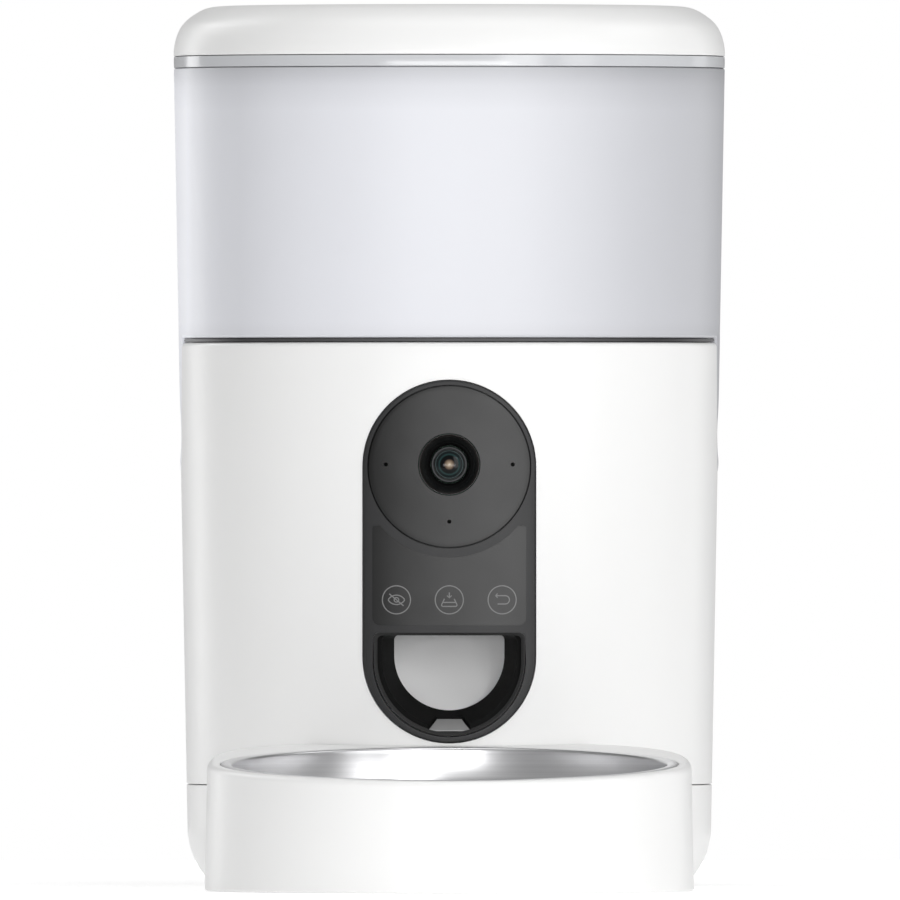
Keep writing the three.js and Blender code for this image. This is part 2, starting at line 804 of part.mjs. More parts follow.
function mainShell() {
  const top = halfAt(shellTop);
  const low = halfAt(shellZ);
  const ledgeTop = shellTop - wellFlange - seat;
  const wall = onPlan(closed([
    point(low, shellZ),
    ...arc(top - shellEdge, shellTop - shellEdge, shellEdge, shellEdge, 0, 90, 3),
    point(top - shellWall, shellTop),
    point(top - shellWall, ledgeTop),
    point(top - shellWall - shellLedge, ledgeTop),
    point(top - shellWall - shellLedge, ledgeTop - shellLedge / 2),
    point(top - shellWall, ledgeTop - shellLedge * 1.5),
    point(low - shellWall, shellZ),
  ]));
  const pads = sides.map((side) =>
    sideSlab(side, tabShape(tabRoom + tabBack), -shellWall / 2, -tabSeat - tabBack)
      .intersect(column(0, shellZ, shellTop)));
  const recesses = sides.map((side) => sideSlab(side, tabShape(tabRoom), overrun, -tabSeat));
  const posts = towers.flatMap(({ x, y, degrees }) => [
    rod(bossRadius, shellZ, shellZ + postHeight, x, y),
    web(degrees, bossCircle, halfAt(shellTop), postWeb, shellZ, shellZ + postHeight)
      .intersect(column(-shellWall / 2)),
  ]);
  const screwHoles = towers.map(({ x, y }) =>
    rod(screwRadius + seat, shellZ - overrun, screwSeat + screwLength + screwRoom, x, y));
  const frame = curvedPlate(
    rearPrism(rearShape(rearLedge)), -shellWall / 2, -rearThickness - seam - rearLedgeThickness,
  ).intersect(column(0, shellZ, shellTop));
  const rearPosts = rearScrews.map((z) =>
    bar(rearPostRadius, rearScrewFace(z) - rearPostLength, rearScrewFace(z), 0, z));
  const rearHoles = rearScrews.map((z) =>
    bar(rearScrewRadius + seat, rearScrewFace(z) - rearScrewLength, rearScrewFace(z) + overrun, 0, z));
  return cut(
    joined(wall, ...pads, ...posts, frame, ...rearPosts),
    ...recesses,
    ...screwHoles,
    frontCut(stadium(panelRadius + panelRoom, outletHeight, cameraHeight)),
    curvedPlate(rearPrism(rearShape(panelRoom)), overrun, -rearThickness - seam),
    rearPrism(rearShape(-rearLedge)).subtract(joined(...rearPosts)),
    ...rearHoles,
  );
}

// The well takes the hopper's cone and the portion chamber, and carries the drive and the chute below
function hopperWell() {
  const top = halfAt(shellTop);
  const rim = top - wellRimGap;
  const foot = neckRadius + neckWall + wellSideGap;
  const form = onPlan([
    point(0, wellUnder),
    point(foot + wellWall, wellUnder),
    point(foot + wellWall, coneFoot),
    point(rim + wellWall, shellTop - wellFlange),
    point(top - shellWall - seat, shellTop - wellFlange),
    point(top - shellWall - seat, shellTop),
    point(rim, shellTop),
    point(foot, coneFoot),
    point(foot, wellTop),
    point(0, wellTop),
  ]);
  const notches = sides.map((side) =>
    sideSlab(side, tabShape(tabRoom + tabBack + seat), overrun, -tabSeat - tabBack - seat));
  const posts = casePosts.map(([x, y]) =>
    rod(casePostRadius, caseLidTop + seat, wellUnder + wellFloor / 2, x, y));
  return cut(
    joined(form, ...posts),
    ...notches,
    upPrism(sector(dropInner, dropOuter, dropHalfAngle), wellUnder - overrun, wellTop + overrun),
    rod(shaftRadius + screwRoom, wellUnder - overrun, wellTop + overrun),
  );
}

function deckGasket() {
  const outer = halfAt(shellTop) - gasketRecess;
  const low = shellTop + (ringGap - gasketHeight) / 2;
  const ring = onPlan(closed([
    point(outer, low),
    point(outer, low + gasketHeight),
    point(outer - gasketWidth, low + gasketHeight),
    point(outer - gasketWidth, low),
  ]));
  return cut(ring, ...sides.map((side) => sideSlab(side, tabShape(tabRoom), overrun, -tabSeat)));
}

// Front panel: the whole round-ended plate, with pockets for what sits in it
function frontPanel() {
  const plate = curvedPlate(
    frontCut(stadium(panelRadius, outletHeight, cameraHeight)), panelProud, panelProud - panelThickness,
  );
  const posts = cameraPosts.map(([x, z]) =>
    bar(cameraPostRadius, -reachAt(z, panelProud - panelThickness / 2, x), cameraBoardFront - seat, x, z));
  const discPocket = frontCut(circle(discRadius + seam, 0, cameraHeight), roundSteps)
    .subtract(column(panelProud - discThickness - seam));
  const touchPocket = frontCut(touchShape(seam)).subtract(column(panelProud - touchThickness - seam));
  return cut(
    joined(plate, ...posts),
    discPocket,
    touchPocket,
    frontCut(circle(lensHoodRadius + seam, 0, lensHeight), roundSteps),
    frontCut(hoodShape(outletRadius + seam, outletHeight, outletTop + seam, windowCorner + seam)),
  );
}

function cameraDisc() {
  const plate = curvedPlate(
    frontCut(circle(discRadius, 0, cameraHeight), roundSteps), panelProud, panelProud - discThickness,
  );
  const holes = [[-micHoleSide, 0], [micHoleSide, 0], [0, -micHoleDrop]].map(([x, drop]) =>
    frontCut(circle(micHoleRadius, x, lensHeight + drop), fewSteps));
  return cut(plate, frontCut(circle(lensHoodRadius + seam, 0, lensHeight), roundSteps), ...holes);
}

function lensHood() {
  const bore = barrelRadius + barrelRoom;
  return alongY([
    point(bore, panelFace + lensHoodDepth),
    point(lensHoodRadius, panelFace + lensHoodDepth),
    point(lensHoodRadius, panelFace),
    point(lensHoodRadius - hoodLip, panelFace),
    point(bore, panelFace + lensConeDepth),
  ], lensHeight);
}

function lensBarrel() {
  const pocket = glassRadius + seat;
  const front = panelFace + barrelInset;
  const shoulder = front + glassThickness + seat;
  return alongY([
    point(0, front + barrelLength),
    point(barrelRadius, front + barrelLength),
    point(barrelRadius, front),
    point(pocket, front),
    point(pocket, shoulder),
    point(0, shoulder),
  ], lensHeight, true);
}

// The glass is domed: a low cap of an ellipse on a short cylinder
function lensGlass() {
  const front = panelFace + barrelInset;
  const dome = arc(0, 0, glassRadius, glassSag, 0, 90, 4).map((p) => point(p.x, front - p.y));
  return alongY([
    point(0, front + glassThickness),
    point(glassRadius, front + glassThickness),
    ...dome.slice(0, -1),
    point(0, front - glassSag),
  ], lensHeight, true);
}

function cameraBoard() {
  const plate = block(
    -cameraBoardHalf, cameraBoardHalf, cameraBoardFront, cameraBoardFront + boardThickness,
    cameraHeight - cameraBoardHalf, cameraHeight + cameraBoardHalf,
  );
  const holder = block(
    -sensorHalf, sensorHalf, cameraBoardFront - sensorDepth, cameraBoardFront + boardThickness / 2,
    lensHeight - sensorHalf, lensHeight + sensorHalf,
  );
  const seatBore = bar(
    barrelRadius + barrelRoom, cameraBoardFront - sensorDepth - overrun, cameraBoardFront, 0, lensHeight,
  );
  return cut(joined(plate, holder), seatBore);
}

const touchPanel = () => curvedPlate(frontCut(touchShape()), panelProud, panelProud - touchThickness);

function touchBoard() {
  const front = -reachAt(touchBottom, panelProud - panelThickness, touchBoardHalf) + seat;
  return block(
    -touchBoardHalf, touchBoardHalf, front, front + touchBoardThickness,
    touchBottom + touchCorner, touchShoulder - touchCorner,
  );
}

// A funnel from the wide mouth in the front panel to the window that the chute ends at
function outletSleeve() {
  const slope = (grow) => between(
    hoodShape(mouthRadius + grow, mouthHeight, outletTop - mouthTop + grow, windowCorner + grow), sleeveFront,
    hoodShape(windowRadius + grow, windowHeight, windowTop + grow, windowCorner + grow), sleeveBack,
  );
  const flange = frontCut(hoodShape(outletRadius, outletHeight, outletTop, windowCorner))
    .intersect(column(panelProud))
    .subtract(column(panelProud - sleeveFlange));
  const shell = slope(sleeveWall).intersect(column(panelProud)).intersect(frontCut(
    hoodShape(outletRadius, outletHeight, outletTop, windowCorner)));
  const run = between(
    hoodShape(mouthRadius, mouthHeight, outletTop - mouthTop, windowCorner), sleeveFront,
    hoodShape(windowRadius, windowHeight, windowTop, windowCorner), sleeveBack,
  );
  const ends = frontPrism(hoodShape(windowRadius, windowHeight, windowTop, windowCorner),
    sleeveBack - seam, sleeveBack + overrun);
  return cut(joined(flange, shell), run, ends, lipCut());
}

// The pouring lip is a flat facet cut into the lower side of the funnel, narrow behind and wide in front
function lipCut() {
  const front = sleeveFront + lipInset;
  const slab = (half, height) => polygon([
    point(-half, height), point(half, height), point(half, mouthHeight), point(-half, mouthHeight),
  ]);
  const back = front + lipLength;
  return between(slab(lipFrontHalf, lipFrontHeight), front, slab(lipBackHalf, lipBackHeight), back);
}

// Chute, seen from the side as y and height: down from the well's hole, then forward to the window
function chuteShape(grow = 0) {
  const slope = (chuteTop - chuteShoulder - chuteFoot) / (chuteBack - chuteFront);
  const thick = grow * Math.hypot(1, slope);
  return polygon([
    point(chuteFront - overrun, chuteFoot - thick - overrun * slope),
    point(chuteBack + grow, chuteTop - chuteShoulder - thick + grow * slope),
    point(chuteBack + grow, chuteTop + overrun),
    point(chuteNose - grow, chuteTop + overrun),
    point(chuteNose - grow, chuteTop - chuteRoofDrop + grow),
    point(chuteFront - overrun, chuteHead + grow),
  ]);
}

function foodChute() {
  const whole = block(
    -chuteHalfWidth - chuteWall, chuteHalfWidth + chuteWall, chuteFront, chuteBack + chuteWall,
    shellZ, chuteTop,
  );
  const outer = sidePrism(chuteShape(chuteWall), -chuteHalfWidth - chuteWall, chuteHalfWidth + chuteWall);
  const inner = sidePrism(chuteShape(), -chuteHalfWidth, chuteHalfWidth);
  return outer.intersect(whole).subtract(inner);
}

// Rear panel, with sound slots, the recess for the power plug and the hole for the reset button
function rearPanel() {
  const plate = curvedPlate(rearPrism(rearShape()), 0, -rearThickness);
  const cup = block(
    -inletSide - inletHalfWidth - inletWall, -inletSide + inletHalfWidth + inletWall, inletBack - inletWall,
    halfAt(shellTop), inletHeight - inletHalfHeight - inletWall, inletHeight + inletHalfHeight + inletWall,
  ).intersect(column(-rearThickness / 2));
  const inlet = block(
    -inletSide - inletHalfWidth, -inletSide + inletHalfWidth, inletBack, halfAt(shellTop) + overrun,
    inletHeight - inletHalfHeight, inletHeight + inletHalfHeight,
  );
  const plugWay = block(
    -inletSide - usbHalfWidth - seat, -inletSide + usbHalfWidth + seat, inletBack - inletWall - overrun,
    inletBack + overrun, inletHeight - usbHalfHeight - seat, inletHeight + usbHalfHeight + seat,
  );
  const slots = Array.from({ length: slotCount }, (_, i) => {
    const z = speakerHeight + (i - (slotCount - 1) / 2) * slotPitch;
    const shape = roundedBox(
      -slotHalfLength, slotHalfLength, z - slotHalfWidth, z + slotHalfWidth, slotHalfWidth,
    );
    return rearPrism(shape, fewSteps);
  });
  const screwWays = rearScrews.flatMap((z) => [
    bar(rearScrewRadius + seat, rearScrewFace(z) - overrun, rearScrewTop(z) + overrun, 0, z),
    bar(rearScrewHead + seat, rearScrewTop(z) - rearScrewHeadHeight - seat, rearScrewTop(z) + overrun, 0, z),
  ]);
  const buttonWay = bar(
    resetRadius + resetRoom, inletBack, halfAt(shellTop) + overrun, resetSide, inletHeight, roundSides,
  );
  return cut(joined(plate, cup), inlet, plugWay, ...slots, ...screwWays, buttonWay);
}

function powerSocket() {
  const body = block(
    -inletSide - socketHalfWidth, -inletSide + socketHalfWidth, inletBack - inletWall - seat - socketBody,
    inletBack - inletWall - seat, inletHeight - socketHalfHeight, inletHeight + socketHalfHeight,
  );
  const nose = block(
    -inletSide - usbHalfWidth, -inletSide + usbHalfWidth,
    inletBack - inletWall - usbDepth, inletBack + usbNose,
    inletHeight - usbHalfHeight, inletHeight + usbHalfHeight,
  );
  const mouth = block(
    -inletSide - usbHalfWidth + usbShell, -inletSide + usbHalfWidth - usbShell, inletBack - usbDepth,
    inletBack + overrun, inletHeight - usbHalfHeight + usbShell, inletHeight + usbHalfHeight - usbShell,
  );
  return joined(body, nose).subtract(mouth);
}

function speaker() {
  const face = reachAt(speakerHeight - speakerRadius, -rearThickness, speakerRadius) - seat;
  const back = face - speakerDepth;
  return alongY([
    point(0, face - speakerRim),
    point(speakerRadius - speakerRim, face),
    point(speakerRadius, face),
    point(speakerRadius, face - speakerRim),
    point(speakerMagnet, face - speakerDepth / 2),
    point(speakerMagnet, back),
    point(0, back),
  ], speakerHeight, true);
}

function resetButton() {
  const face = reachAt(inletHeight, resetProud, resetSide);
  const inside = reachAt(inletHeight, -rearThickness, resetSide + resetRadius) - seat;
  return joined(
    bar(resetRadius, face - resetLength, face, resetSide, inletHeight, roundSides),
    bar(resetRadius + resetFlange, inside - resetFlange, inside, resetSide, inletHeight, roundSides),
  );
}

const rearScrew = (z) => joined(
  bar(rearScrewHead, rearScrewTop(z) - rearScrewHeadHeight, rearScrewTop(z), 0, z),
  bar(rearScrewRadius, rearScrewTop(z) - rearScrewLength, rearScrewTop(z) - rearScrewHeadHeight / 2, 0, z),
);

const baseScrew = ({ x, y }) => joined(
  rod(screwHeadRadius, screwSeat - seat - screwHeadHeight, screwSeat - seat, x, y),
  rod(screwRadius, screwSeat - seat - screwHeadHeight / 2, screwSeat + screwLength, x, y),
);

const foot = (sx, sy) => rod(
  footRadius, 0, panZ + footRecess - seat, sx * footInset, sy * footInset, roundSides,
);

function mainBoard() {
  const low = mainZ + seat;
  const board = block(
    -mainHalfWidth, mainHalfWidth, bayMiddle - mainHalfLength, bayMiddle + mainHalfLength,
    low, low + boardThickness,
  );
  const chips = chipShares.map(({ x, y, wide, long, tall }) => block(
    (x - wide) * mainHalfWidth, (x + wide) * mainHalfWidth,
    bayMiddle + (y - long) * mainHalfLength, bayMiddle + (y + long) * mainHalfLength,
    low + boardThickness / 2, low + boardThickness + tall * chipHeight,
  ));
  return joined(board, ...chips);
}

// Hopper bucket: walls, a step in over the gasket, a cone and a neck, and a tab on each side
function hopperBucket() {
  const low = halfAt(hopperZ);
  const top = halfAt(hopperTop);
  const inner = neckRadius;
  const outer = neckRadius + neckWall;
  const form = onPlan(closed([
    point(outer, neckTop - neckLength),
    point(outer, neckTop),
    point(low - hopperFlange, hopperZ),
    point(low - hopperEdge, hopperZ),
    point(low, hopperZ + hopperEdge),
    point(top, hopperTop),
    point(top - hopperWall, hopperTop),
    point(low - hopperWall, hopperZ + hopperWall * 2),
    point(low - hopperWall * 2, hopperZ + hopperWall),
    point(low - hopperFlange, hopperZ + hopperWall),
    point(inner, neckTop + hopperEdge),
    point(inner, neckTop - neckLength),
  ]));
  const tabs = sides.map((side) => sideSlab(side, tabShape(), 0, -tabThickness));
  return joined(form, ...tabs);
}

function hopperRim() {
  const low = halfAt(bandZ);
  const top = halfAt(bandZ + bandHeight);
  return onPlan(closed([
    point(low, bandZ),
    point(top, bandZ + bandHeight),
    point(top - hopperWall, bandZ + bandHeight),
    point(low - hopperWall, bandZ),
  ]));
}

// The chamber is a cup round the hopper's neck, with the drop hole and the hub hole in its floor
function portionChamber() {
  const inner = neckRadius + neckWall + chamberRoom;
  const low = chamberZ - overrun;
  const high = chamberZ + chamberFloor + overrun;
  const cup = turned(
    [
      point(0, chamberZ),
      point(inner + chamberWall, chamberZ),
      point(inner + chamberWall, chamberZ + chamberHeight),
      point(inner, chamberZ + chamberHeight),
      point(inner, chamberZ + chamberFloor),
      point(0, chamberZ + chamberFloor),
    ],
    ringSides,
  );
  return cut(
    cup,
    upPrism(sector(dropInner, dropOuter, dropHalfAngle), low, high),
    rod(hubHole, low, high, 0, 0, roundSides),
  );
}

function portionRotor() {
  const tip = neckRadius + neckWall + chamberRoom - vaneTipRoom;
  const hub = rod(hubRadius, rotorZ, rotorZ + hubHeight, 0, 0, roundSides);
  const vanes = Array.from({ length: vaneCount }, (_, i) =>
    web((i * 360) / vaneCount, hubRadius / 2, tip, vaneThickness, rotorZ, rotorZ + vaneHeight));
  const socket = rod(couplerRadius + couplerRoom, rotorZ - overrun, rotorZ + socketDepth, 0, 0, couplerSides);
  return cut(joined(hub, ...vanes), socket);
}

const portionBaffle = () => upPrism(
  sector(baffleInner, neckRadius - seat, baffleHalfAngle),
  rotorZ + vaneHeight + baffleLift, rotorZ + vaneHeight + baffleLift + baffleThickness,
);

function stirrer() {
  const low = rotorZ + hubHeight + seat;
  const high = low + stirrerHeight;
  const bladeLow = low + stirrerBladeLift;
  const bladeHigh = bladeLow + stirrerBladeHeight;
  const cone = turned([point(0, low), point(hubRadius, low), point(stirrerTip, high), point(0, high)]);
  const blades = [0, 180].map((degrees) => web(degrees, 0, stirrerReach, stirrerBlade, bladeLow, bladeHigh));
  return joined(cone, ...blades);
}

// Gears: involute flanks from the base circle to the tip
function gearShape(teeth, startDegrees) {
  const pitch = (gearModule * teeth) / 2;
  const base = pitch * Math.cos(radians(pressureAngle));
  const tip = pitch + gearModule * toothAddendum;
  const root = pitch - gearModule * toothDedendum;
  const involute = (r) => {
    const angle = Math.acos(Math.min(1, base / r));
    return Math.tan(angle) - angle;
  };
  const halfTooth = Math.PI / (2 * teeth) - toothPlay / (2 * pitch) + involute(pitch);
  const radii = [0, 0.5, 1].map((share) => Math.max(base, root) + (tip - Math.max(base, root)) * share);
  const points = [];
  for (let i = 0; i < teeth; i++) {
    const middle = radians(startDegrees) + (2 * Math.PI * i) / teeth;
    const at = (r, turn) => points.push(point(r * Math.cos(middle + turn), r * Math.sin(middle + turn)));
    if (root < base) at(root, -halfTooth);
    radii.forEach((r) => at(r, involute(r) - halfTooth));
    [...radii].reverse().forEach((r) => at(r, halfTooth - involute(r)));
    if (root < base) at(root, halfTooth);
  }
  return polygon(points);
}

const outputGear = () => upPrism(gearShape(gearTeeth, 90), gearZ, gearZ + gearWidth)
  .subtract(rod(shaftRadius + seat, gearZ - overrun, gearZ + gearWidth + overrun));

// The pinion is one with the motor's shaft, and a gap of it faces the output gear
function motorPinion() {
  const teeth = upPrism(gearShape(pinionTeeth, -90 + 180 / pinionTeeth), pinionZ, pinionZ + pinionWidth)
    .translate([0, gearSpacing, 0]);
  const shaft = rod(motorShaftRadius, motorTop - motorShaftDepth, pinionZ + pinionWidth, 0, gearSpacing);
  return joined(teeth, shaft);
}

// The gear case is two round pockets run together, hung under the well on three posts
function caseForm(grow, low, high) {
  return joined(
    rod(gearReach + grow, low, high, 0, 0, ringSides),
    rod(pinionReach + grow, low, high, 0, gearSpacing, roundSides),
  );
}

function gearCase() {
  return cut(
    caseForm(caseWall, caseZ, caseLidZ - seam),
    caseForm(0, caseZ + caseFloor, caseLidZ + overrun),
    rod(shaftRadius + seat, caseZ - overrun, caseZ + caseFloor + overrun),
    rod(motorShaftRadius + screwRoom, caseZ - overrun, caseZ + caseFloor + overrun, 0, gearSpacing),
  );
}

const gearLid = () => caseForm(caseWall, caseLidZ, caseLidTop)
  .subtract(rod(shaftRadius + seat, caseLidZ - overrun, caseLidTop + overrun));

const shaftBush = () => rod(bushRadius, caseLidTop + seat, wellUnder - seat, 0, 0, roundSides)
  .subtract(rod(shaftRadius + seat, caseLidTop - overrun, wellUnder + overrun));

const outputShaft = () => rod(shaftRadius, caseZ, couplerZ + couplerHeight - couplerCap - seat);

const outputCoupler = () => rod(couplerRadius, couplerZ, couplerZ + couplerHeight, 0, 0, couplerSides)
  .subtract(rod(shaftRadius + seat, couplerZ - overrun, couplerZ + couplerHeight - couplerCap));

function driveMotor() {
  const can = rod(motorRadius, motorTop - motorHeight, motorTop, 0, gearSpacing, roundSides);
  const bore = motorShaftRadius + screwRoom;
  return can.subtract(rod(bore, motorTop - motorShaftDepth - seat, motorTop + overrun, 0, gearSpacing));
}

// Lid
function lidShell() {
  const low = halfAt(lidZ);
  const edgeZ = lidTop - lidCrown - lidEdgeHeight;
  const edgeX = halfAt(lidTop) - lidEdgeWidth;
  return onPlan([
    point(0, lidTop - lidWall),
    ...arc(edgeX, edgeZ, lidEdgeWidth - lidWall, lidEdgeHeight - lidWall, 90, 0, 4),
    point(low - lidWall, lidZ),
    point(low, lidZ),
    ...arc(edgeX, edgeZ, lidEdgeWidth, lidEdgeHeight, 0, 90, 5),
    point(0, lidTop),
  ]);
}

const skirtOuter = halfAt(lidZ - skirtDepth) - hopperWall - skirtGap;

function lidLiner() {
  const edge = halfAt(lidZ) - lidWall - seat;
  const plate = lidZ + linerBand;
  return onPlan([
    point(0, plate),
    point(skirtOuter - linerWall, plate),
    point(skirtOuter - linerWall, lidZ - skirtDepth),
    point(skirtOuter, lidZ - skirtDepth),
    point(skirtOuter, plate),
    point(edge, plate),
    point(edge, plate + linerWall),
    point(0, plate + linerWall),
  ]);
}

function lidSeal() {
  const low = lidZ - skirtDepth + sealRise;
  return onPlan(closed([
    point(skirtOuter + seat + sealWidth, low),
    point(skirtOuter + seat + sealWidth, low + sealHeight),
    point(skirtOuter + seat, low + sealHeight),
    point(skirtOuter + seat, low),
  ]));
}

const sachetTop = lidZ + linerBand - seat;
const sachetCup = () => turned(closed([
  point(sachetRadius, sachetTop - sachetDepth),
  point(sachetRadius, sachetTop),
  point(0, sachetTop),
  point(0, sachetTop - sachetWall),
  point(sachetRadius - sachetWall, sachetTop - sachetWall),
  point(sachetRadius - sachetWall, sachetTop - sachetDepth),
]));

function sachetCap() {
  const high = sachetTop - sachetDepth - seam;
  const plug = sachetRadius - sachetWall - sachetCapRoom;
  const cap = turned([
    point(0, high - sachetCapHeight),
    point(sachetRadius, high - sachetCapHeight),
    point(sachetRadius, high),
    point(plug, high),
    point(plug, high + sachetCapHeight),
    point(plug - sachetWall, high + sachetCapHeight),
    point(plug - sachetWall, high),
    point(0, high),
  ]);
  const slots = Array.from({ length: sachetSlots }, (_, i) => web(
    (i * 360) / sachetSlots, sachetSlotInner, sachetSlotOuter, sachetSlotHalf * 2,
    high - sachetCapHeight - overrun, high + overrun,
  ));
  return cut(cap, ...slots);
}

// Tray: round in front, drawn back to the body behind, with its top sloping down to the front
function trayForm(shrink, low, high) {
  const at = (z) => trayRadius + trayDraft * (rimHeight - z) - shrink;
  const profile = [point(0, low), point(at(low), low), point(at(high), high), point(0, high)];
  const geometry = turnedGeometry(profile);
  const places = geometry.getAttribute("position");
  const depth = (trayRearDepth - shrink) / (trayRadius - shrink);
  for (let i = 0; i < places.count; i++) {
    const x = places.getX(i);
    const y = places.getY(i);
    const r = Math.hypot(x, y);
    const back = r > 0 && y > 0
      ? (Math.abs(x / r) ** trayRearPower + (y / r / depth) ** trayRearPower) ** (-1 / trayRearPower)
      : 1;
    const z = places.getZ(i);
    places.setXYZ(i, x * back, y * back, z * (1 + (Math.tan(radians(rimTilt)) * y * back) / rimHeight));
  }
  return solidOf(geometry.translate(0, trayY, 0));
}

// Turned pieces of the bowl stand square to the sloping rim
const onRim = (profile) => {
  const geometry = turnedGeometry(closed(profile)).rotateX(radians(rimTilt));
  return solidOf(geometry.translate(0, trayY, rimHeight));
};

function bowlCavity(grow, above) {
  return onRim([
    point(0, -bowlDepth - bowlRoom - grow),
    ...arc(bowlFloorRadius, 0, bowlRadius - bowlRimWidth - bowlFloorRadius + bowlRoom + grow,
      bowlDepth + bowlRoom + grow, 270, 350, 4),
    point(bowlRadius - bowlRimWidth + bowlRoom + grow, above),
    point(0, above),
  ]);
}

function bowlTray() {
  const solid = trayForm(0, 0, rimHeight);
  const hollow = trayForm(trayFloor, -overrun, rimHeight - trayFloor)
    .subtract(column(trayGap + trayFloor, -overrun * 2))
    .subtract(bowlCavity(trayFloor, overrun * 4));
  const ledge = onRim([
    point(0, -bowlSteel - seat),
    point(bowlRadius + seat, -bowlSteel - seat),
    point(bowlRadius + seat, overrun * 4),
    point(0, overrun * 4),
  ]);
  const tongues = clips.map((x) => block(
    x - clipHalfWidth, x + clipHalfWidth, -traySeat - trayFloor * 2, -traySeat + clipReach,
    clipHeight, clipHeight + clipThickness,
  ));
  const body = cut(solid, column(trayGap, -overrun * 2), hollow, bowlCavity(0, overrun * 4), ledge);
  return joined(body, ...tongues);
}

function steelBowl() {
  const wall = bowlRadius - bowlRimWidth;
  return onRim([
    point(0, -bowlDepth),
    ...arc(bowlFloorRadius, 0, wall - bowlFloorRadius, bowlDepth, 270, 356, 5),
    point(wall, -bowlSteel),
    point(bowlRadius, -bowlSteel),
    point(bowlRadius, 0),
    ...arc(bowlFloorRadius, 0, wall - bowlFloorRadius - bowlSteel, bowlDepth - bowlSteel, 360, 270, 5),
    point(0, -bowlDepth + bowlSteel),
  ]);
}

// Assembly
const feeder = new THREE.Group();
feeder.name = "pet_feeder";
function place(name, solid, look) {
  const mesh = new THREE.Mesh(geometryOf(solid), look);
  mesh.name = name;
  feeder.add(mesh);
}

place("base_pan", basePan(), white);
place("main_shell", mainShell(), white);
place("rear_panel", rearPanel(), white);
place("hopper_well", hopperWell(), innerGrey);
place("deck_gasket", deckGasket(), rubber);
feet.forEach(([name, sx, sy]) => place(`foot_${name}`, foot(sx, sy), rubber));
towers.forEach((tower, i) => place(`base_screw_${i + 1}`, baseScrew(tower), zinc));
rearScrews.forEach((z, i) => place(`rear_screw_${i + 1}`, rearScrew(z), zinc));

place("battery_box", batteryBox(), innerGrey);
place("battery_cover", batteryCover(), white);
place("battery_contact_left", contactStrip(-1), zinc);
place("battery_contact_right", contactStrip(1), zinc);
place("main_board", mainBoard(), boardGreen);
place("speaker", speaker(), black);
place("power_socket", powerSocket(), zinc);
place("reset_button", resetButton(), grey);

place("front_panel", frontPanel(), black);
place("camera_disc", cameraDisc(), darkGloss);
place("lens_hood", lensHood(), black);
place("lens_barrel", lensBarrel(), darkGloss);
place("lens_glass", lensGlass(), glass);
place("camera_board", cameraBoard(), boardGreen);
place("touch_panel", touchPanel(), darkGloss);
place("touch_board", touchBoard(), boardGreen);
place("outlet_sleeve", outletSleeve(), black);
place("food_chute", foodChute(), innerGrey);

place("gear_case", gearCase(), innerGrey);
place("gear_lid", gearLid(), innerGrey);
place("shaft_bush", shaftBush(), zinc);
place("drive_motor", driveMotor(), zinc);
place("motor_pinion", motorPinion(), white);
place("output_gear", outputGear(), white);
place("output_shaft", outputShaft(), zinc);
place("output_coupler", outputCoupler(), grey);

place("hopper_bucket", hopperBucket(), frosted);
place("hopper_rim", hopperRim(), frosted);
place("portion_chamber", portionChamber(), innerGrey);
place("portion_baffle", portionBaffle(), innerGrey);
place("portion_rotor", portionRotor(), white);
place("stirrer", stirrer(), silicone);

place("lid_shell", lidShell(), white);
place("lid_liner", lidLiner(), white);
place("lid_seal", lidSeal(), silicone);
place("sachet_cup", sachetCup(), white);
place("sachet_cap", sachetCap(), white);

place("bowl_tray", bowlTray(), white);
place("steel_bowl", steelBowl(), steel);

// The origin goes under the middle of the whole
const box = new THREE.Box3().setFromObject(feeder);
feeder.position.set(0, -box.getCenter(new THREE.Vector3()).y, 0);

export default feeder;
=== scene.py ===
"""Automatic pet feeder with a camera: its visible pieces, finishes and stage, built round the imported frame.

The file is laid out as an add-on: settings, one operator for each group of pieces, and a panel that lists
them. Run as a script, it calls the operators in order. Lengths in the shape code are in millimetres about
the body's upright axis, with the front towards -Y. place() takes them to Blender's metres.
"""

import math
from functools import partial

import bmesh
import bpy
from bpy.props import FloatProperty, FloatVectorProperty, IntProperty, PointerProperty
from bpy.types import Operator, Panel, PropertyGroup
from mathutils import Matrix, Vector


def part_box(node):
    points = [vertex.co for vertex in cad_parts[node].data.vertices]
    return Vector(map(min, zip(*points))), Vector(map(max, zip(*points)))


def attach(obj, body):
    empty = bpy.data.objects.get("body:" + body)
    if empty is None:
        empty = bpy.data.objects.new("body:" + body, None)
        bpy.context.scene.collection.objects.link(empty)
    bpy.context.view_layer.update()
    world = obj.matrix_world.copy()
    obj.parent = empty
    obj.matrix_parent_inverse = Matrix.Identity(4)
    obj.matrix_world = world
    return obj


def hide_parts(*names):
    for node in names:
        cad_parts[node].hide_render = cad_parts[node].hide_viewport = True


bl_info = {
    "name": "Pet feeder with camera",
    "version": (1, 0, 0),
    "blender": (4, 5, 0),
    "location": "View3D > Sidebar > Feeder",
    "description": "Builds the pieces, finishes and stage of an automatic pet feeder",
    "category": "Object",
}

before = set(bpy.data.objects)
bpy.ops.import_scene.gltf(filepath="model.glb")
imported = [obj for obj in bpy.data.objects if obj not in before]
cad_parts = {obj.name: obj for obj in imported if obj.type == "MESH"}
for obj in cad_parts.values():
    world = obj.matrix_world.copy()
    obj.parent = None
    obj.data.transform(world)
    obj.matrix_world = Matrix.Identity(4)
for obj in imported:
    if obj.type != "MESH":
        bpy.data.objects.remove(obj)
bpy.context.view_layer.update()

MM = 0.001
rim_low, rim_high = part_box("hopper_rim")
AXIS_Y = (rim_low.y + rim_high.y) / 2

# Form of the body: a soft square plan that leans out by the draft
PLAN_POWER = 2.35
FLOOR_HALF = 91.84
DRAFT = 0.018
ROUND_RADIUS = 56.6
SQUARE_RADIUS = 86.64

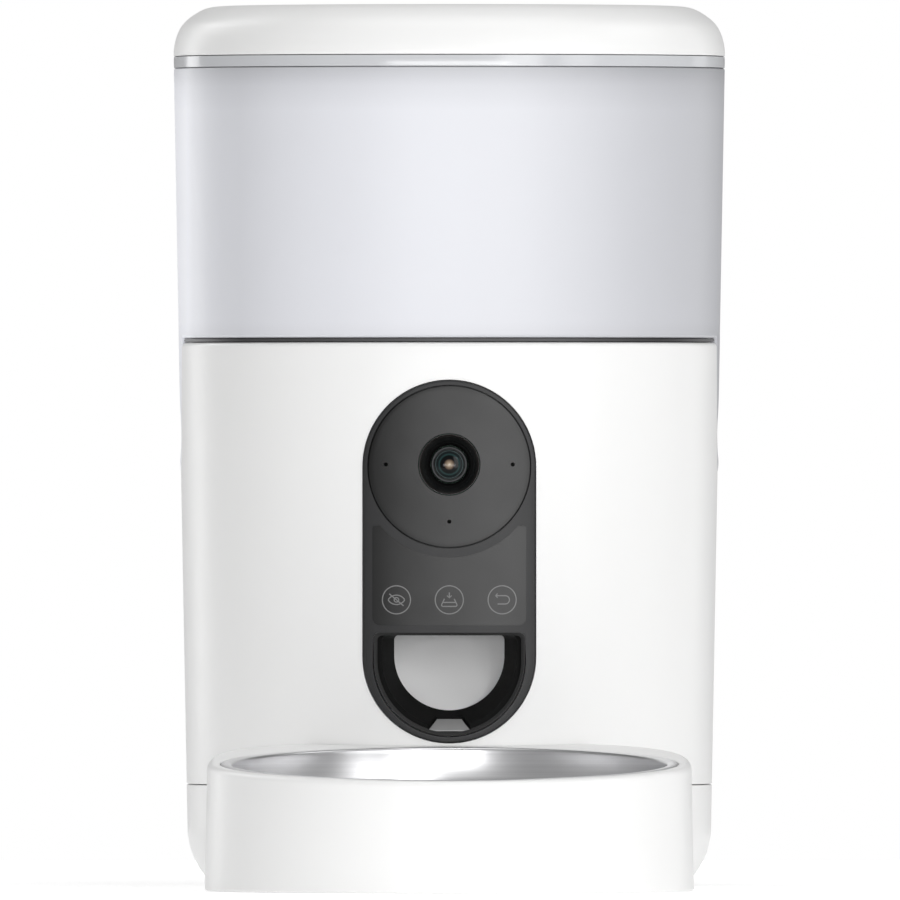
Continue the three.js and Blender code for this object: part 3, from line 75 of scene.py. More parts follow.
# Heights of the main pieces, from the frame
PAN_LOW, PAN_TOP = (corner.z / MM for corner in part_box("base_pan"))
SHELL_LOW, SHELL_TOP = (corner.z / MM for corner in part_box("main_shell"))
GASKET_LOW, GASKET_TOP = (corner.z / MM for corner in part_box("deck_gasket"))
HOPPER_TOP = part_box("hopper_bucket")[1].z / MM
HOPPER_LOW = SHELL_TOP + 1.6
BAND_LOW, BAND_TOP = rim_low.z / MM, rim_high.z / MM
LID_LOW, LID_TOP = (corner.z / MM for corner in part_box("lid_shell"))
WELL_TOP = SHELL_LOW + 84.4
NECK_TOP = WELL_TOP + 30.8

# Walls and gaps. THROUGH is how far a cutting shape runs on past what it cuts, and a span is where a shape
# that runs through the front or the rear wall starts and ends along Y
SHELL_WALL = 2.6
HOPPER_WALL = 2.4
SEAM = 0.3
HAIR = 0.03
THROUGH = 6.0
FRONT_SPAN = (-130, -40)
REAR_SPAN = (40, 130)

# Inside the hopper and the lid
NECK_OUTER, NECK_INNER = 54.2, 52.0
PORTION_HOLE = (20, 48, 24)
LINER_RISE = 1.4
SKIRT_LOW = LID_LOW - 9.7
SKIRT_GAP = 2
SACHET_RADIUS, SACHET_WALL, SACHET_DEPTH = 32, 1.6, 15

# Front panel: its radius, the heights of its two arc centres, and the camera disc and touch face in it
PANEL_RADIUS = 30.155
CAMERA_HEIGHT = SHELL_TOP - 13.45 - PANEL_RADIUS
OUTLET_HEIGHT = SHELL_LOW + 14.95 + PANEL_RADIUS
PANEL_PROUD = 0.9
DISC_RADIUS = PANEL_RADIUS - 1.75
LENS_HEIGHT = CAMERA_HEIGHT + 0.75
TOUCH_HALF = PANEL_RADIUS - 3.2
TOUCH_LOW = OUTLET_HEIGHT + 10.9

# Tray and bowl
TRAY_RADIUS = 84.3
RIM_HEIGHT = 44.3
RIM_TILT = math.radians(3.83)
TRAY_Y = -176.637
TRAY_BACK = 101
TRAY_LEAN = 0.0194
BOWL_RADIUS = 79.5
BOWL_WALL = BOWL_RADIUS - 2.9
BOWL_FLAT, BOWL_DEPTH = 52, 34

# Side tab of the hopper, the finger dish in it and the lip below the dish
TAB_HALF_TOP = 21.5
TAB_HALF_LOW = 15.0
TAB_DROP = 47.1
TAB_RISE = 4.0
TAB_ROOM = 0.4
TAB_SEAT = 3.248
TAB_SINK = 0.06
DISH_HEIGHT, DISH_REACH, DISH_DEPTH, DISH_WIDTH = 160.0, 7.0, 0.35, 15.0
LIP_HEIGHT, LIP_REACH, LIP_PROUD = 149.0, 3.0, 0.3

# Places on the front panel
OUTLET_TOP = OUTLET_HEIGHT + 8.3
MOUTH_RADIUS = PANEL_RADIUS - 4.95
MOUTH_HEIGHT = OUTLET_HEIGHT - 1.2
WINDOW_RADIUS = PANEL_RADIUS - 10.85
WINDOW_HEIGHT = OUTLET_HEIGHT + 0.4
HOOD_HOLE = 10.9
MIC_SIDE = DISC_RADIUS - 6.2
MIC_PLACES = ((-MIC_SIDE, LENS_HEIGHT), (MIC_SIDE, LENS_HEIGHT), (0, LENS_HEIGHT - 20))
RING_RADIUS, RING_HEIGHT, RING_OPEN = 26.5, 79.7, 84.0
ICON_SIDE = 18.5

# Base: its rounding and floor, and the battery bay's half width, front, rear and cover
BASE_ROUND, BASE_ROUND_Z = 27.5, 20.9
BASE_FLOOR = 5
BAY_X, BAY_FRONT, BAY_REAR = 33.25, -56.3, 48.3
COVER_TOP = PAN_LOW + 2.2

# The tray's clips: their places, half width, heights and length behind the seat, and the room round them
CLIPS = (-30.0, 30.0)
CLIP_HALF, CLIP_LOW, CLIP_HIGH, CLIP_REACH, CLIP_ROOM = 8, 12, 16, 9, 0.4
TRAY_GAP = 0.6
TRAY_SEAT = FLOOR_HALF + DRAFT * RIM_HEIGHT + TRAY_GAP

# Feet, and the screw towers with the room for a screw's head and shank
FOOT_SPREAD = 50
FOOT_ROOM = 8.3
FEET = [(x, y) for x in (-FOOT_SPREAD, FOOT_SPREAD) for y in (-FOOT_SPREAD, FOOT_SPREAD)]
TOWERS = [(76 * math.cos(t), 76 * math.sin(t)) for t in map(math.radians, (20, 160, 200, 340))]
TOWER_RADIUS, HEAD_ROOM, SHANK_ROOM = 5.5, 3.3, 2.0

# Places on the rear panel
SPEAKER_HEIGHT = SHELL_LOW + 57.2
INLET_HEIGHT = SPEAKER_HEIGHT - 28
INLET_X = -15
RESET_X = 14
REAR_LOW, REAR_HIGH, REAR_HALF, REAR_CORNER = INLET_HEIGHT - 17, SPEAKER_HEIGHT + 27, 40, 6
REAR_FRAME = 8
REAR_SCREWS = (SHELL_LOW + 16.2, SHELL_LOW + 80.2)

# Camera, floor and light. A light has its place, what it looks at, its two sides and its power
SENSOR_WIDTH = 36
CAMERA_ASIDE = 0.000245
CAMERA_UP = 0.1534
CAMERA_PLANE = -0.0125
FLOOR_CORNERS = ((-900, -1000), (900, -1000), (900, 900), (-900, 900))
FLOOR_HEIGHT = -0.1
GLOW_RANGE, GLOW_FAR = (0.3, 0.85), 0.7
LIGHTS = {
    "Key right": ((0.445, -1.222, 0.2), (0, 0, 0.15), (0.35, 1.0), 5.2),
    "Side right": ((0.919, -0.919, 0.2), (0, 0, 0.15), (0.35, 1.0), 2.4),
    "Rim left": ((-0.9, 0.95, 0.5), (0, 0, 0.2), (0.35, 1.0), 2.8),
    "Rim right": ((0.996, 0.836, 0.5), (0, 0, 0.2), (0.35, 1.0), 1.0),
    "Low front": ((0, -1.6, 0.1), (0, 0, 0.1), (0.9, 0.16), 5.1),
    "Top": ((0, -0.2, 1.3), (0, 0, 0.2), (0.9, 0.9), 4.4),
    "Upper left": ((-0.85, 0.7, 1.1), (0, 0, 0.25), (0.6, 0.6), 2.4),
    "Upper right": ((1.0, 0.0, 1.1), (0, 0, 0.25), (0.6, 0.6), 1.8),
}

# The lid's edge, as insets from the body's form and drops from the top
LID_EDGE = (
    (24.0, 0.0), (19.0, 0.05), (15.0, 0.25), (12.2, 0.75), (10.2, 1.5), (8.2, 2.6), (6.4, 3.8), (4.9, 5.0),
    (3.6, 6.3), (2.6, 7.65), (1.85, 9.1), (1.25, 10.5), (0.8, 11.9), (0.45, 13.3), (0.2, 14.7), (0.05, 16.1),
)

# Sides of a turned piece: of the square plan, of the front panel's parts, of a round part and of a small one
ROUND_SIDES = 256
FINE_SIDES = 1024
TURNED_SIDES = 128
SMALL_SIDES = 48
RING_SECTION = 16

# Points closer than this many metres are one point
DOUBLES = 2e-6


# Settings


def length_setting(name, description, default, low, high, precision=4):
    """A length that a user may change."""
    return FloatProperty(
        name=name, description=description, default=default, min=low, max=high, precision=precision,
        subtype="DISTANCE", unit="LENGTH",
    )


def count_setting(name, description, default, low, high):
    """A number of like cuts that a user may change."""
    return IntProperty(name=name, description=description, default=default, min=low, max=high)


def colour_setting(name, description, default):
    """A base colour that a user may change."""
    return FloatVectorProperty(
        name=name, description=description, default=default, min=0, max=1, subtype="COLOR",
    )


class FeederSizes(PropertyGroup):
    """Sizes of the pieces that a user may change."""

    lid_wall: length_setting("Lid wall", "Thickness of the lid's shell", 0.0024, 0.001, 0.004)
    band_proud: length_setting(
        "Band reach", "How far the rim band reaches into the seam above and below it", 0.00012, 0, 0.0002, 5,
    )
    dome_radius: length_setting("Lens radius", "Radius of the camera's front glass", 0.0051, 0.003, 0.0053)
    dome_rise: length_setting(
        "Lens rise", "How far the front glass swells out of its barrel", 0.0015, 0.0005, 0.003,
    )
    pinhole: length_setting(
        "Pinhole radius", "Radius of the sound and light holes round the lens", 0.00072, 0.0003, 0.0012, 5,
    )
    key_radius: length_setting(
        "Key radius", "Radius of the ring printed round each touch key", 0.00492, 0.003, 0.006, 5,
    )
    print_width: length_setting(
        "Print width", "Width of the lines printed on the touch face", 0.00038, 0.0002, 0.0008, 5,
    )
    foot_radius: length_setting("Foot radius", "Radius of each rubber foot", 0.008, 0.005, 0.0082)
    foot_height: length_setting(
        "Foot height", "Height of each rubber foot, part of it sunk in the base", 0.0035, 0.002, 0.0035,
    )
    grip_slots: count_setting("Grip slots", "Number of shallow grip slots in the battery cover", 7, 3, 8)
    sound_slots: count_setting("Sound slots", "Number of slots over the loudspeaker", 5, 3, 5)
    scent_slots: count_setting("Scent slots", "Number of slots in the cap of the sachet's cup", 6, 3, 8)


class FeederColours(PropertyGroup):
    """Base colours of the feeder's finishes."""

    white: colour_setting("White", "Lid, body, base, tray and rear panel", (0.83, 0.83, 0.825))
    frosted: colour_setting("Hopper", "Frosted wall of the food hopper", (0.89, 0.9, 0.95))
    band: colour_setting("Rim band", "Glossy band under the lid", (0.55, 0.56, 0.58))
    black: colour_setting("Front plate", "Satin black border of the front panel", (0.017, 0.017, 0.018))
    panel: colour_setting("Camera face", "Dark disc round the lens", (0.034, 0.034, 0.034))
    touch: colour_setting("Touch face", "Dark face with the three touch keys", (0.04, 0.04, 0.04))
    icons: colour_setting("Key print", "Grey print of the touch keys", (0.17, 0.17, 0.17))
    sleeve: colour_setting("Outlet", "Black funnel of the food outlet", (0.005, 0.005, 0.005))
    # Painted light: the pouring lip's grey stands for light falling on the black facet at the outlet's foot
    lip: colour_setting("Pouring lip", "Grey, painted light on the facet at the foot of the outlet", (0.33, 0.33, 0.33))
    gasket: colour_setting("Gasket", "Rubber line between hopper and body", (0.07, 0.07, 0.072))
    rubber: colour_setting("Feet", "Dark rubber of the feet", (0.02, 0.02, 0.021))
    steel_low: colour_setting("Steel, dark", "Darker tone of the bowl's spun rings", (0.66, 0.66, 0.67))
    steel_high: colour_setting("Steel, pale", "Paler tone of the bowl's spun rings", (0.76, 0.76, 0.77))


class FeederStage(PropertyGroup):
    """The camera, the light and the floor."""

    distance: length_setting(
        "Camera distance", "Distance of the camera from the body's front", 14.8, 3, 15, 2,
    )
    frame_width: length_setting("Frame width", "Width of the view at the body's front", 0.315, 0.2, 1, 3)
    room: FloatProperty(
        name="Room light", description="Strength of the even light from all round", default=0.335,
        min=0, max=2,
    )
    lamps: FloatProperty(
        name="Lamps", description="Share of each soft light's full power", default=1.0, min=0, max=2,
        subtype="FACTOR",
    )
    floor_glow: FloatProperty(
        name="Floor glow", description="Light that the pale floor gives off near the feeder", default=0.3,
        min=0, max=1, subtype="FACTOR",
    )


def millimetres(length):
    """A length from the settings, rounded to a hundredth of a micrometre."""
    return round(length / MM, 5)


# Shapes as lists of points and faces


def half_at(z):
    """Half the body's width at a height."""
    return FLOOR_HALF + DRAFT * z


def place(x, y, z):
    """A point about the body's axis in millimetres, as a point of the frame in metres."""
    return (x * MM, y * MM + AXIS_Y, z * MM)


def arc(x, z, wide, high, start, end, steps):
    """Points on part of an ellipse, with angles in degrees."""
    turns = [math.radians(start + (end - start) * i / steps) for i in range(steps + 1)]
    return [(x + wide * math.cos(t), z + high * math.sin(t)) for t in turns]


def plan_reach(radius, angle):
    """The soft square plan: round near the axis, square by the walls."""
    along, across = abs(math.cos(angle)), abs(math.sin(angle))
    reach = (along**PLAN_POWER + across**PLAN_POWER) ** (-1 / PLAN_POWER)
    share = min(1, max(0, (radius - ROUND_RADIUS) / (SQUARE_RADIUS - ROUND_RADIUS)))
    return radius * (1 + (reach - 1) * share)


def wall_reach(z, offset=0, aside=0):
    """How far the body's form reaches from its middle plane, this far to the side."""
    half = half_at(z) + offset
    return (half**PLAN_POWER - abs(aside) ** PLAN_POWER) ** (1 / PLAN_POWER)


def turned(profile, sides=TURNED_SIDES, reach=None, ring=False):
    """Turns a profile of radius and height about the upright axis. A ring's profile closes on itself.

    A reach makes the plan other than round: it takes a radius and an angle to a distance from the axis.
    """
    points, faces, rows = [], [], []
    for radius, height in profile:
        if radius == 0:
            rows.append([len(points)] * sides)
            points.append((0, 0, height))
            continue
        rows.append(range(len(points), len(points) + sides))
        for i in range(sides):
            angle = math.tau * i / sides
            r = reach(radius, angle) if reach else radius
            points.append((r * math.cos(angle), r * math.sin(angle), height))
    pairs = list(zip(rows, rows[1:])) + ([(rows[-1], rows[0])] if ring else [])
    for low, high in pairs:
        for i in range(sides):
            j = (i + 1) % sides
            corners = list(dict.fromkeys([low[i], low[j], high[j], high[i]]))
            if len(corners) > 2:
                faces.append(corners)
    return points, faces


def along_y(shape, height):
    """A turned shape laid over, so that its axis runs back along Y at a height."""
    points, faces = shape
    return [(x, z, height - y) for x, y, z in points], faces


def prism(outline, near, far, axis="Y"):
    """A straight prism: the outline is x and z along Y, y and z along X, or x and y along Z."""
    to_point = {
        "Y": lambda u, v, depth: (u, depth, v),
        "X": lambda u, v, depth: (depth, u, v),
        "Z": lambda u, v, depth: (u, v, depth),
    }[axis]
    count = len(outline)
    points = [to_point(u, v, near) for u, v in outline] + [to_point(u, v, far) for u, v in outline]
    faces = [[i, (i + 1) % count, count + (i + 1) % count, count + i] for i in range(count)]
    return points, faces + [list(range(count))[::-1], list(range(count, 2 * count))]


def block(x, y, z):
    """A box from three pairs of limits."""
    return prism([(x[0], z[0]), (x[1], z[0]), (x[1], z[1]), (x[0], z[1])], *y)


def column(offset, low=-THROUGH, high=LID_TOP + THROUGH, sides=ROUND_SIDES):
    """The body's outer form, grown by an offset, between two heights."""
    wall = [(half_at(low) + offset, low), (half_at(high) + offset, high)]
    return turned([(0, low), *wall, (0, high)], sides, plan_reach)


def soft_square(profile, ring=False):
    """Turns a profile along the body's soft square plan."""
    return turned(profile, ROUND_SIDES, plan_reach, ring)


def stadium(radius, low, high, steps=64):
    """An outline with round ends about a low and a high centre."""
    return arc(0, low, radius, radius, 180, 360, steps) + arc(0, high, radius, radius, 0, 180, steps)


def circle(radius, x=0, z=0, steps=TURNED_SIDES):
    """A round outline about a point."""
    return arc(x, z, radius, radius, 0, 360, steps)[:-1]


def rounded_box(left, right, low, high, corner, steps=8):
    """A box's outline with round corners."""
    middles = [
        (left + corner, low + corner, 180), (right - corner, low + corner, 270),
        (right - corner, high - corner, 0), (left + corner, high - corner, 90),
    ]
    return [p for x, z, turn in middles for p in arc(x, z, corner, corner, turn, turn + 90, steps)]


def hood_outline(radius, middle, top, corner):
    """Half round below, straight sides and a flat top with small corners."""
    right = arc(radius - corner, top - corner, corner, corner, 0, 90, 8)
    left = arc(corner - radius, top - corner, corner, corner, 90, 180, 8)
    return arc(0, middle, radius, radius, 180, 360, 64) + right + left


def grown(outline, amount):
    """An outline moved outwards by an amount, square to its edges."""
    count = len(outline)
    moved = []
    for i, (u, v) in enumerate(outline):
        before, after = Vector(outline[i - 1]), Vector(outline[(i + 1) % count])
        edge = (after - before).normalized()
        moved.append((u + edge.y * amount, v - edge.x * amount))
    return moved


def loft(rings, capped=True):
    """Faces between rings of as many points, with flat ends."""
    count = len(rings[0])
    points = [p for ring in rings for p in ring]
    faces = [
        [k * count + i, k * count + (i + 1) % count, (k + 1) * count + (i + 1) % count, (k + 1) * count + i]
        for k in range(len(rings) - 1) for i in range(count)
    ]
    if capped:
        last = (len(rings) - 1) * count
        faces += [list(range(count))[::-1], list(range(last, last + count))]
    return points, faces


def dense(outline, longest=2.0):
    """An outline with its long edges cut into short ones, so that it can follow the curved wall."""
    points = []
    for i, here in enumerate(outline):
        after = outline[(i + 1) % len(outline)]
        count = max(1, math.ceil(math.dist(here, after) / longest))
        points += [tuple(Vector(here).lerp(Vector(after), k / count)) for k in range(count)]
    return points


def on_wall(side):
    """A rule for one side of the body, which takes an aside, a height and an offset to a point."""
    return {
        "front": lambda u, v, offset: (u, -wall_reach(v, offset, u), v),
        "rear": lambda u, v, offset: (u, wall_reach(v, offset, u), v),
        "left": lambda u, v, offset: (-wall_reach(v, offset, u), u, v),
        "right": lambda u, v, offset: (wall_reach(v, offset, u), u, v),
    }[side]


def upright(low, high):
    """A spine for a plate: takes a point to the nearest place on an upright line."""
    return lambda u, v: (0, min(max(v, low), high))


def plate(outline, spine, back, edge, face, side="front", rows=12):
    """A plate with a rounded front edge, that follows one side of the body.

    Its back and its face lie at offsets from the body's form. The face may be a rule of aside and height.
    Rings of points run out from the spine over the back, round the edge and in over the face. The spine
    takes a point to the nearest point of a line that lies well inside the outline.
    """
    at = on_wall(side)
    height = face if callable(face) else lambda u, v: face
    turns = [math.pi / 2 * i / 6 for i in range(7)]
    inner = grown(outline, -edge)
    shares = [i / rows for i in range(1, rows + 1)]
    rings = [[at(*Vector(p).lerp(Vector(spine(*p)), s), back) for p in outline] for s in (*shares[::-1], 0)]
    for turn in turns:
        ring = grown(outline, -edge * (1 - math.cos(turn)))
        rings.append([at(u, v, height(u, v) - edge * (1 - math.sin(turn))) for u, v in ring])
    for share in shares:
        ring = [Vector(p).lerp(Vector(spine(*p)), share) for p in inner]
        rings.append([at(u, v, height(u, v)) for u, v in ring])
    return loft(rings, capped=False)


# Pieces as Blender objects


def piece(name, shape, smooth=30.0, face_out=True):
    """Makes an object from points and faces, with doubles merged, faces outwards and smooth shading."""
    points, faces = shape
    mesh = bpy.data.meshes.new(name)
    mesh.from_pydata([place(*p) for p in points], [], faces)
    held = bmesh.new()
    held.from_mesh(mesh)
    bmesh.ops.remove_doubles(held, verts=held.verts, dist=DOUBLES)
    bmesh.ops.dissolve_degenerate(held, edges=held.edges, dist=1e-6)
    if face_out:
        bmesh.ops.recalc_face_normals(held, faces=held.faces)
        if any(not edge.is_manifold for edge in held.edges):
            raise RuntimeError(f"{name} isn't one closed surface")
    held.to_mesh(mesh)
    held.free()
    made = bpy.data.objects.new(name, mesh)
    bpy.context.scene.collection.objects.link(made)
    shade(made, smooth)
    return made


def shade(made, angle=30.0):
    """Smooth shading, apart from edges sharper than an angle in degrees."""
    made.data.shade_smooth()
    made.data.set_sharp_from_angle(angle=math.radians(angle))


def applied(made):
    """Turns what an object's modifiers give into its plain mesh."""
    seen = made.evaluated_get(bpy.context.evaluated_depsgraph_get())
    mesh = bpy.data.meshes.new_from_object(seen)
    old = made.data
    made.modifiers.clear()
    made.data = mesh
    mesh.name = made.name
    if not old.users:
        bpy.data.meshes.remove(old)
    return made


def change(made, others, operation):
    """Cuts, joins or keeps the common part with other shapes or objects, which are used up."""
    for number, other in enumerate(others):
        if not isinstance(other, bpy.types.Object):
            other = piece(f"tool_{number}", other)
        step = made.modifiers.new("step", "BOOLEAN")
        step.operation, step.solver, step.object = operation, "MANIFOLD", other
        applied(made)
        bpy.data.objects.remove(other)
    if not made.data.polygons:
        raise RuntimeError(f"{made.name} came out empty")
    shade(made)
    return made


def cut(made, *others):
    """Takes other shapes away from a piece."""
    return change(made, others, "DIFFERENCE")


def keep(made, *others):
    """Leaves what a piece has in common with other shapes."""
    return change(made, others, "INTERSECT")


def join(made, *others):
    """Adds other shapes to a piece."""
    return change(made, others, "UNION")


def finished(made, look, body, slot, *nodes):
    """Gives a piece its material and body, and says which frame nodes it stands for. Its slot is not used."""
    made.data.materials.clear()
    made.data.materials.append(look)
    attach(made, body)
    if nodes:
        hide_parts(*nodes)


def dress(look, *nodes):
    """Gives frame nodes whose shape is right a material of their own."""
    for node in nodes:
        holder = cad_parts[node]
        for held in holder.material_slots:
            held.link = "OBJECT"
            held.material = look


def pocket(outline, floor):
    """What lies within an outline seen from the front, outside the body's form grown by an offset."""
    return cut(piece("pocket", prism(outline, *FRONT_SPAN)), column(floor))


def tab_outline(grow=0.0):
    """The hopper's side tab, as y and height: round at its foot and wider at its top."""
    low = HOPPER_LOW - TAB_DROP - grow + TAB_HALF_LOW
    top = HOPPER_LOW + TAB_RISE + grow
    wide = TAB_HALF_TOP + grow
    foot = arc(0, low, TAB_HALF_LOW + grow, TAB_HALF_LOW + grow, 180, 360, 32)
    return foot + [(wide, HOPPER_LOW), (wide, top), (-wide, top), (-wide, HOPPER_LOW)]


def tab_room(side, grow, depth):
    """What is cut away on one side of the body for the tab, down to a depth."""
    far = half_at(LID_TOP) + THROUGH
    limits = (-far, -half_at(0) / 2) if side == "left" else (half_at(0) / 2, far)
    return cut(piece("tab_room", prism(tab_outline(grow), *limits, axis="X")), column(-depth))


def tab_face(u, v):
    """A finger dish in the tab's face, with a lip below it."""
    dish = math.exp(-(((v - DISH_HEIGHT) / DISH_REACH) ** 2)) * DISH_DEPTH
    lip = math.exp(-(((v - LIP_HEIGHT) / LIP_REACH) ** 2)) * LIP_PROUD
    aside = math.exp(-((u / DISH_WIDTH) ** 4))
    hidden = TAB_SINK if v > HOPPER_LOW + 1 else 0
    return (lip - dish) * aside - hidden


# Node trees: soft square rings, rows of like shapes, and pads on a square


def feed(socket, value):
    """Sets a socket to a value, or links an output to it. A node stands for its first output."""
    if isinstance(value, bpy.types.Node):
        value = value.outputs[0]
    if isinstance(value, bpy.types.NodeSocket):
        socket.id_data.links.new(value, socket)
    else:
        socket.default_value = value


def add_node(tree, kind, inputs=(), **settings):
    """Adds a node with its settings. What feeds its inputs is given in order, or by place or name."""
    made = tree.nodes.new(kind)
    for key, value in settings.items():
        setattr(made, key, value)
    for key, value in inputs.items() if isinstance(inputs, dict) else enumerate(inputs):
        feed(made.inputs[key], value)
    return made


def add_maths(tree, operation, *values):
    """Adds a node that works a number out from others."""
    return add_node(tree, "ShaderNodeMath", values, operation=operation)


def new_group(name, kind, inputs, outputs):
    """A node group, what its inputs give and what its outputs take. A socket is a name, kind and default."""
    tree = bpy.data.node_groups.new(name, kind)
    for in_out, sockets in (("INPUT", inputs), ("OUTPUT", outputs)):
        for label, sort, *default in sockets:
            made = tree.interface.new_socket(label, in_out=in_out, socket_type=f"NodeSocket{sort}")
            if default:
                made.default_value = default[0]
    return tree, add_node(tree, "NodeGroupInput").outputs, add_node(tree, "NodeGroupOutput").inputs


def end_shape(tree, shape, material, out):
    """Ends a tree: its copies are made real, and they get their material."""
    real = add_node(tree, "GeometryNodeRealizeInstances", (shape,))
    feed(out, add_node(tree, "GeometryNodeSetMaterial", {"Geometry": real, "Material": material}))


def ring_tree():
    """A node tree that sweeps a small section with round corners along the body's soft square plan."""
    tree, give, take = new_group("Soft square ring", "GeometryNodeTree", [
        ("Half width low", "Float", 0.09), ("Half width high", "Float", 0.09), ("Low", "Float", 0.0),
        ("High", "Float", 0.01), ("Wall", "Float", 0.003), ("Corner", "Float", 0.0003),
        ("Power", "Float", PLAN_POWER), ("Middle", "Float", 0.0), ("Sides", "Int", ROUND_SIDES),
        ("Material", "Material"),
    ], [("Geometry", "Geometry")])
    node, maths = partial(add_node, tree), partial(add_maths, tree)

    # A grid, one way round the plan and the other way round the section
    grid = node("GeometryNodeMeshGrid", {
        "Size X": 1.0, "Size Y": 1.0, "Vertices X": maths("ADD", give["Sides"], 1.0),
        "Vertices Y": RING_SECTION + 1,
    })
    at = node("ShaderNodeSeparateXYZ", (node("GeometryNodeInputPosition"),)).outputs
    turn = maths("MULTIPLY", maths("ADD", at[0], 0.5), math.tau)
    round_section = maths("MULTIPLY", maths("ADD", at[1], 0.5), math.tau)

    # The section: a circle pushed out to a box, its corners left round
    def pushed(wave, half):
        inner = maths("SUBTRACT", half, give["Corner"])
        steep = maths("MULTIPLY", wave, math.sqrt(2))
        straight = maths("MULTIPLY", inner, maths("MINIMUM", 1.0, maths("MAXIMUM", -1.0, steep)))
        return maths("ADD", straight, maths("MULTIPLY", wave, give["Corner"]))

    height = maths("SUBTRACT", give["High"], give["Low"])
    across = pushed(maths("COSINE", round_section), maths("MULTIPLY", give["Wall"], 0.5))
    upward = pushed(maths("SINE", round_section), maths("MULTIPLY", height, 0.5))
    share = maths("ADD", maths("DIVIDE", upward, height), 0.5)
    lean = maths("MULTIPLY", maths("SUBTRACT", give["Half width high"], give["Half width low"]), share)
    half = maths("ADD", give["Half width low"], lean)
    radius = maths("ADD", maths("SUBTRACT", half, maths("MULTIPLY", give["Wall"], 0.5)), across)

    # The plan: a superellipse
    along, aside = maths("COSINE", turn), maths("SINE", turn)
    powers = [maths("POWER", maths("ABSOLUTE", wave), give["Power"]) for wave in (along, aside)]
    reach = maths("POWER", maths("ADD", *powers), maths("DIVIDE", -1.0, give["Power"]))
    out = maths("MULTIPLY", radius, reach)
    middle = maths("MULTIPLY", maths("ADD", give["Low"], give["High"]), 0.5)
    spot = node("ShaderNodeCombineXYZ", (
        maths("MULTIPLY", out, along), maths("ADD", maths("MULTIPLY", out, aside), give["Middle"]),
        maths("ADD", middle, upward),
    ))
    moved = node("GeometryNodeSetPosition", {"Geometry": grid, "Position": spot})
    merged = node("GeometryNodeMergeByDistance", {"Geometry": moved, "Distance": DOUBLES})
    end_shape(tree, merged, give["Material"], take[0])
    return tree


def by_nodes(name, tree, values, made=None):
    """Runs a node tree with named inputs, and keeps what it makes as a plain mesh."""
    if not made:
        made = bpy.data.objects.new(name, bpy.data.meshes.new(name))
        bpy.context.scene.collection.objects.link(made)
    step = made.modifiers.new("Shape", "NODES")
    step.node_group = tree
    names = {item.name: item.identifier for item in tree.interface.items_tree if item.in_out == "INPUT"}
    for key, value in values.items():
        if value is not None:
            step[names[key]] = value
    applied(made)
    if not made.data.polygons:
        raise RuntimeError(f"{name} came out empty")
    shade(made)
    return made


def square_ring(name, tree, look, low, high, half_low, half_high, wall, corner):
    """A ring of the body's plan, by its heights, its outer half widths there, its wall and its corners."""
    return by_nodes(name, tree, {
        "Half width low": half_low * MM, "Half width high": half_high * MM, "Low": low * MM,
        "High": high * MM, "Wall": wall * MM, "Corner": corner * MM, "Power": PLAN_POWER,
        "Middle": AXIS_Y, "Sides": ROUND_SIDES, "Material": look,
    })


def copies_tree():
    """A node tree that repeats a shape, each copy a step on and turned further about an upright line."""
    tree, give, take = new_group("Row of copies", "GeometryNodeTree", [
        ("Geometry", "Geometry"), ("Count", "Int"), ("Step", "Vector"), ("Turn", "Float"),
        ("Centre", "Vector"), ("Material", "Material"),
    ], [("Geometry", "Geometry")])
    node = partial(add_node, tree)
    number = node("GeometryNodeInputIndex")
    angle = add_maths(tree, "MULTIPLY", number, give["Turn"])
    shift = node("ShaderNodeVectorMath", {0: give["Step"], "Scale": number}, operation="SCALE")
    swung = node("ShaderNodeVectorRotate", {"Vector": give["Centre"], "Angle": angle}, rotation_type="Z_AXIS")
    back = node("ShaderNodeVectorMath", (give["Centre"], swung), operation="SUBTRACT")
    spot = node("ShaderNodeVectorMath", (back, shift), operation="ADD")
    line = node("GeometryNodeMeshLine", {"Count": give["Count"]})
    placed = node("GeometryNodeSetPosition", {"Geometry": line, "Position": spot})
    copies = node("GeometryNodeInstanceOnPoints", {
        "Points": placed, "Instance": give["Geometry"], "Rotation": node("ShaderNodeCombineXYZ", {2: angle}),
    })
    end_shape(tree, copies, give["Material"], take[0])
    return tree


def repeated(made, count, step=(0, 0, 0), turn=0.0, look=None):
    """Repeats a piece by nodes, along a step in millimetres or round the body's axis."""
    tree = bpy.data.node_groups.get("Row of copies") or copies_tree()
    return by_nodes(made.name, tree, {
        "Count": count, "Step": tuple(part * MM for part in step), "Turn": turn, "Centre": (0, AXIS_Y, 0),
        "Material": look,
    }, made=made)


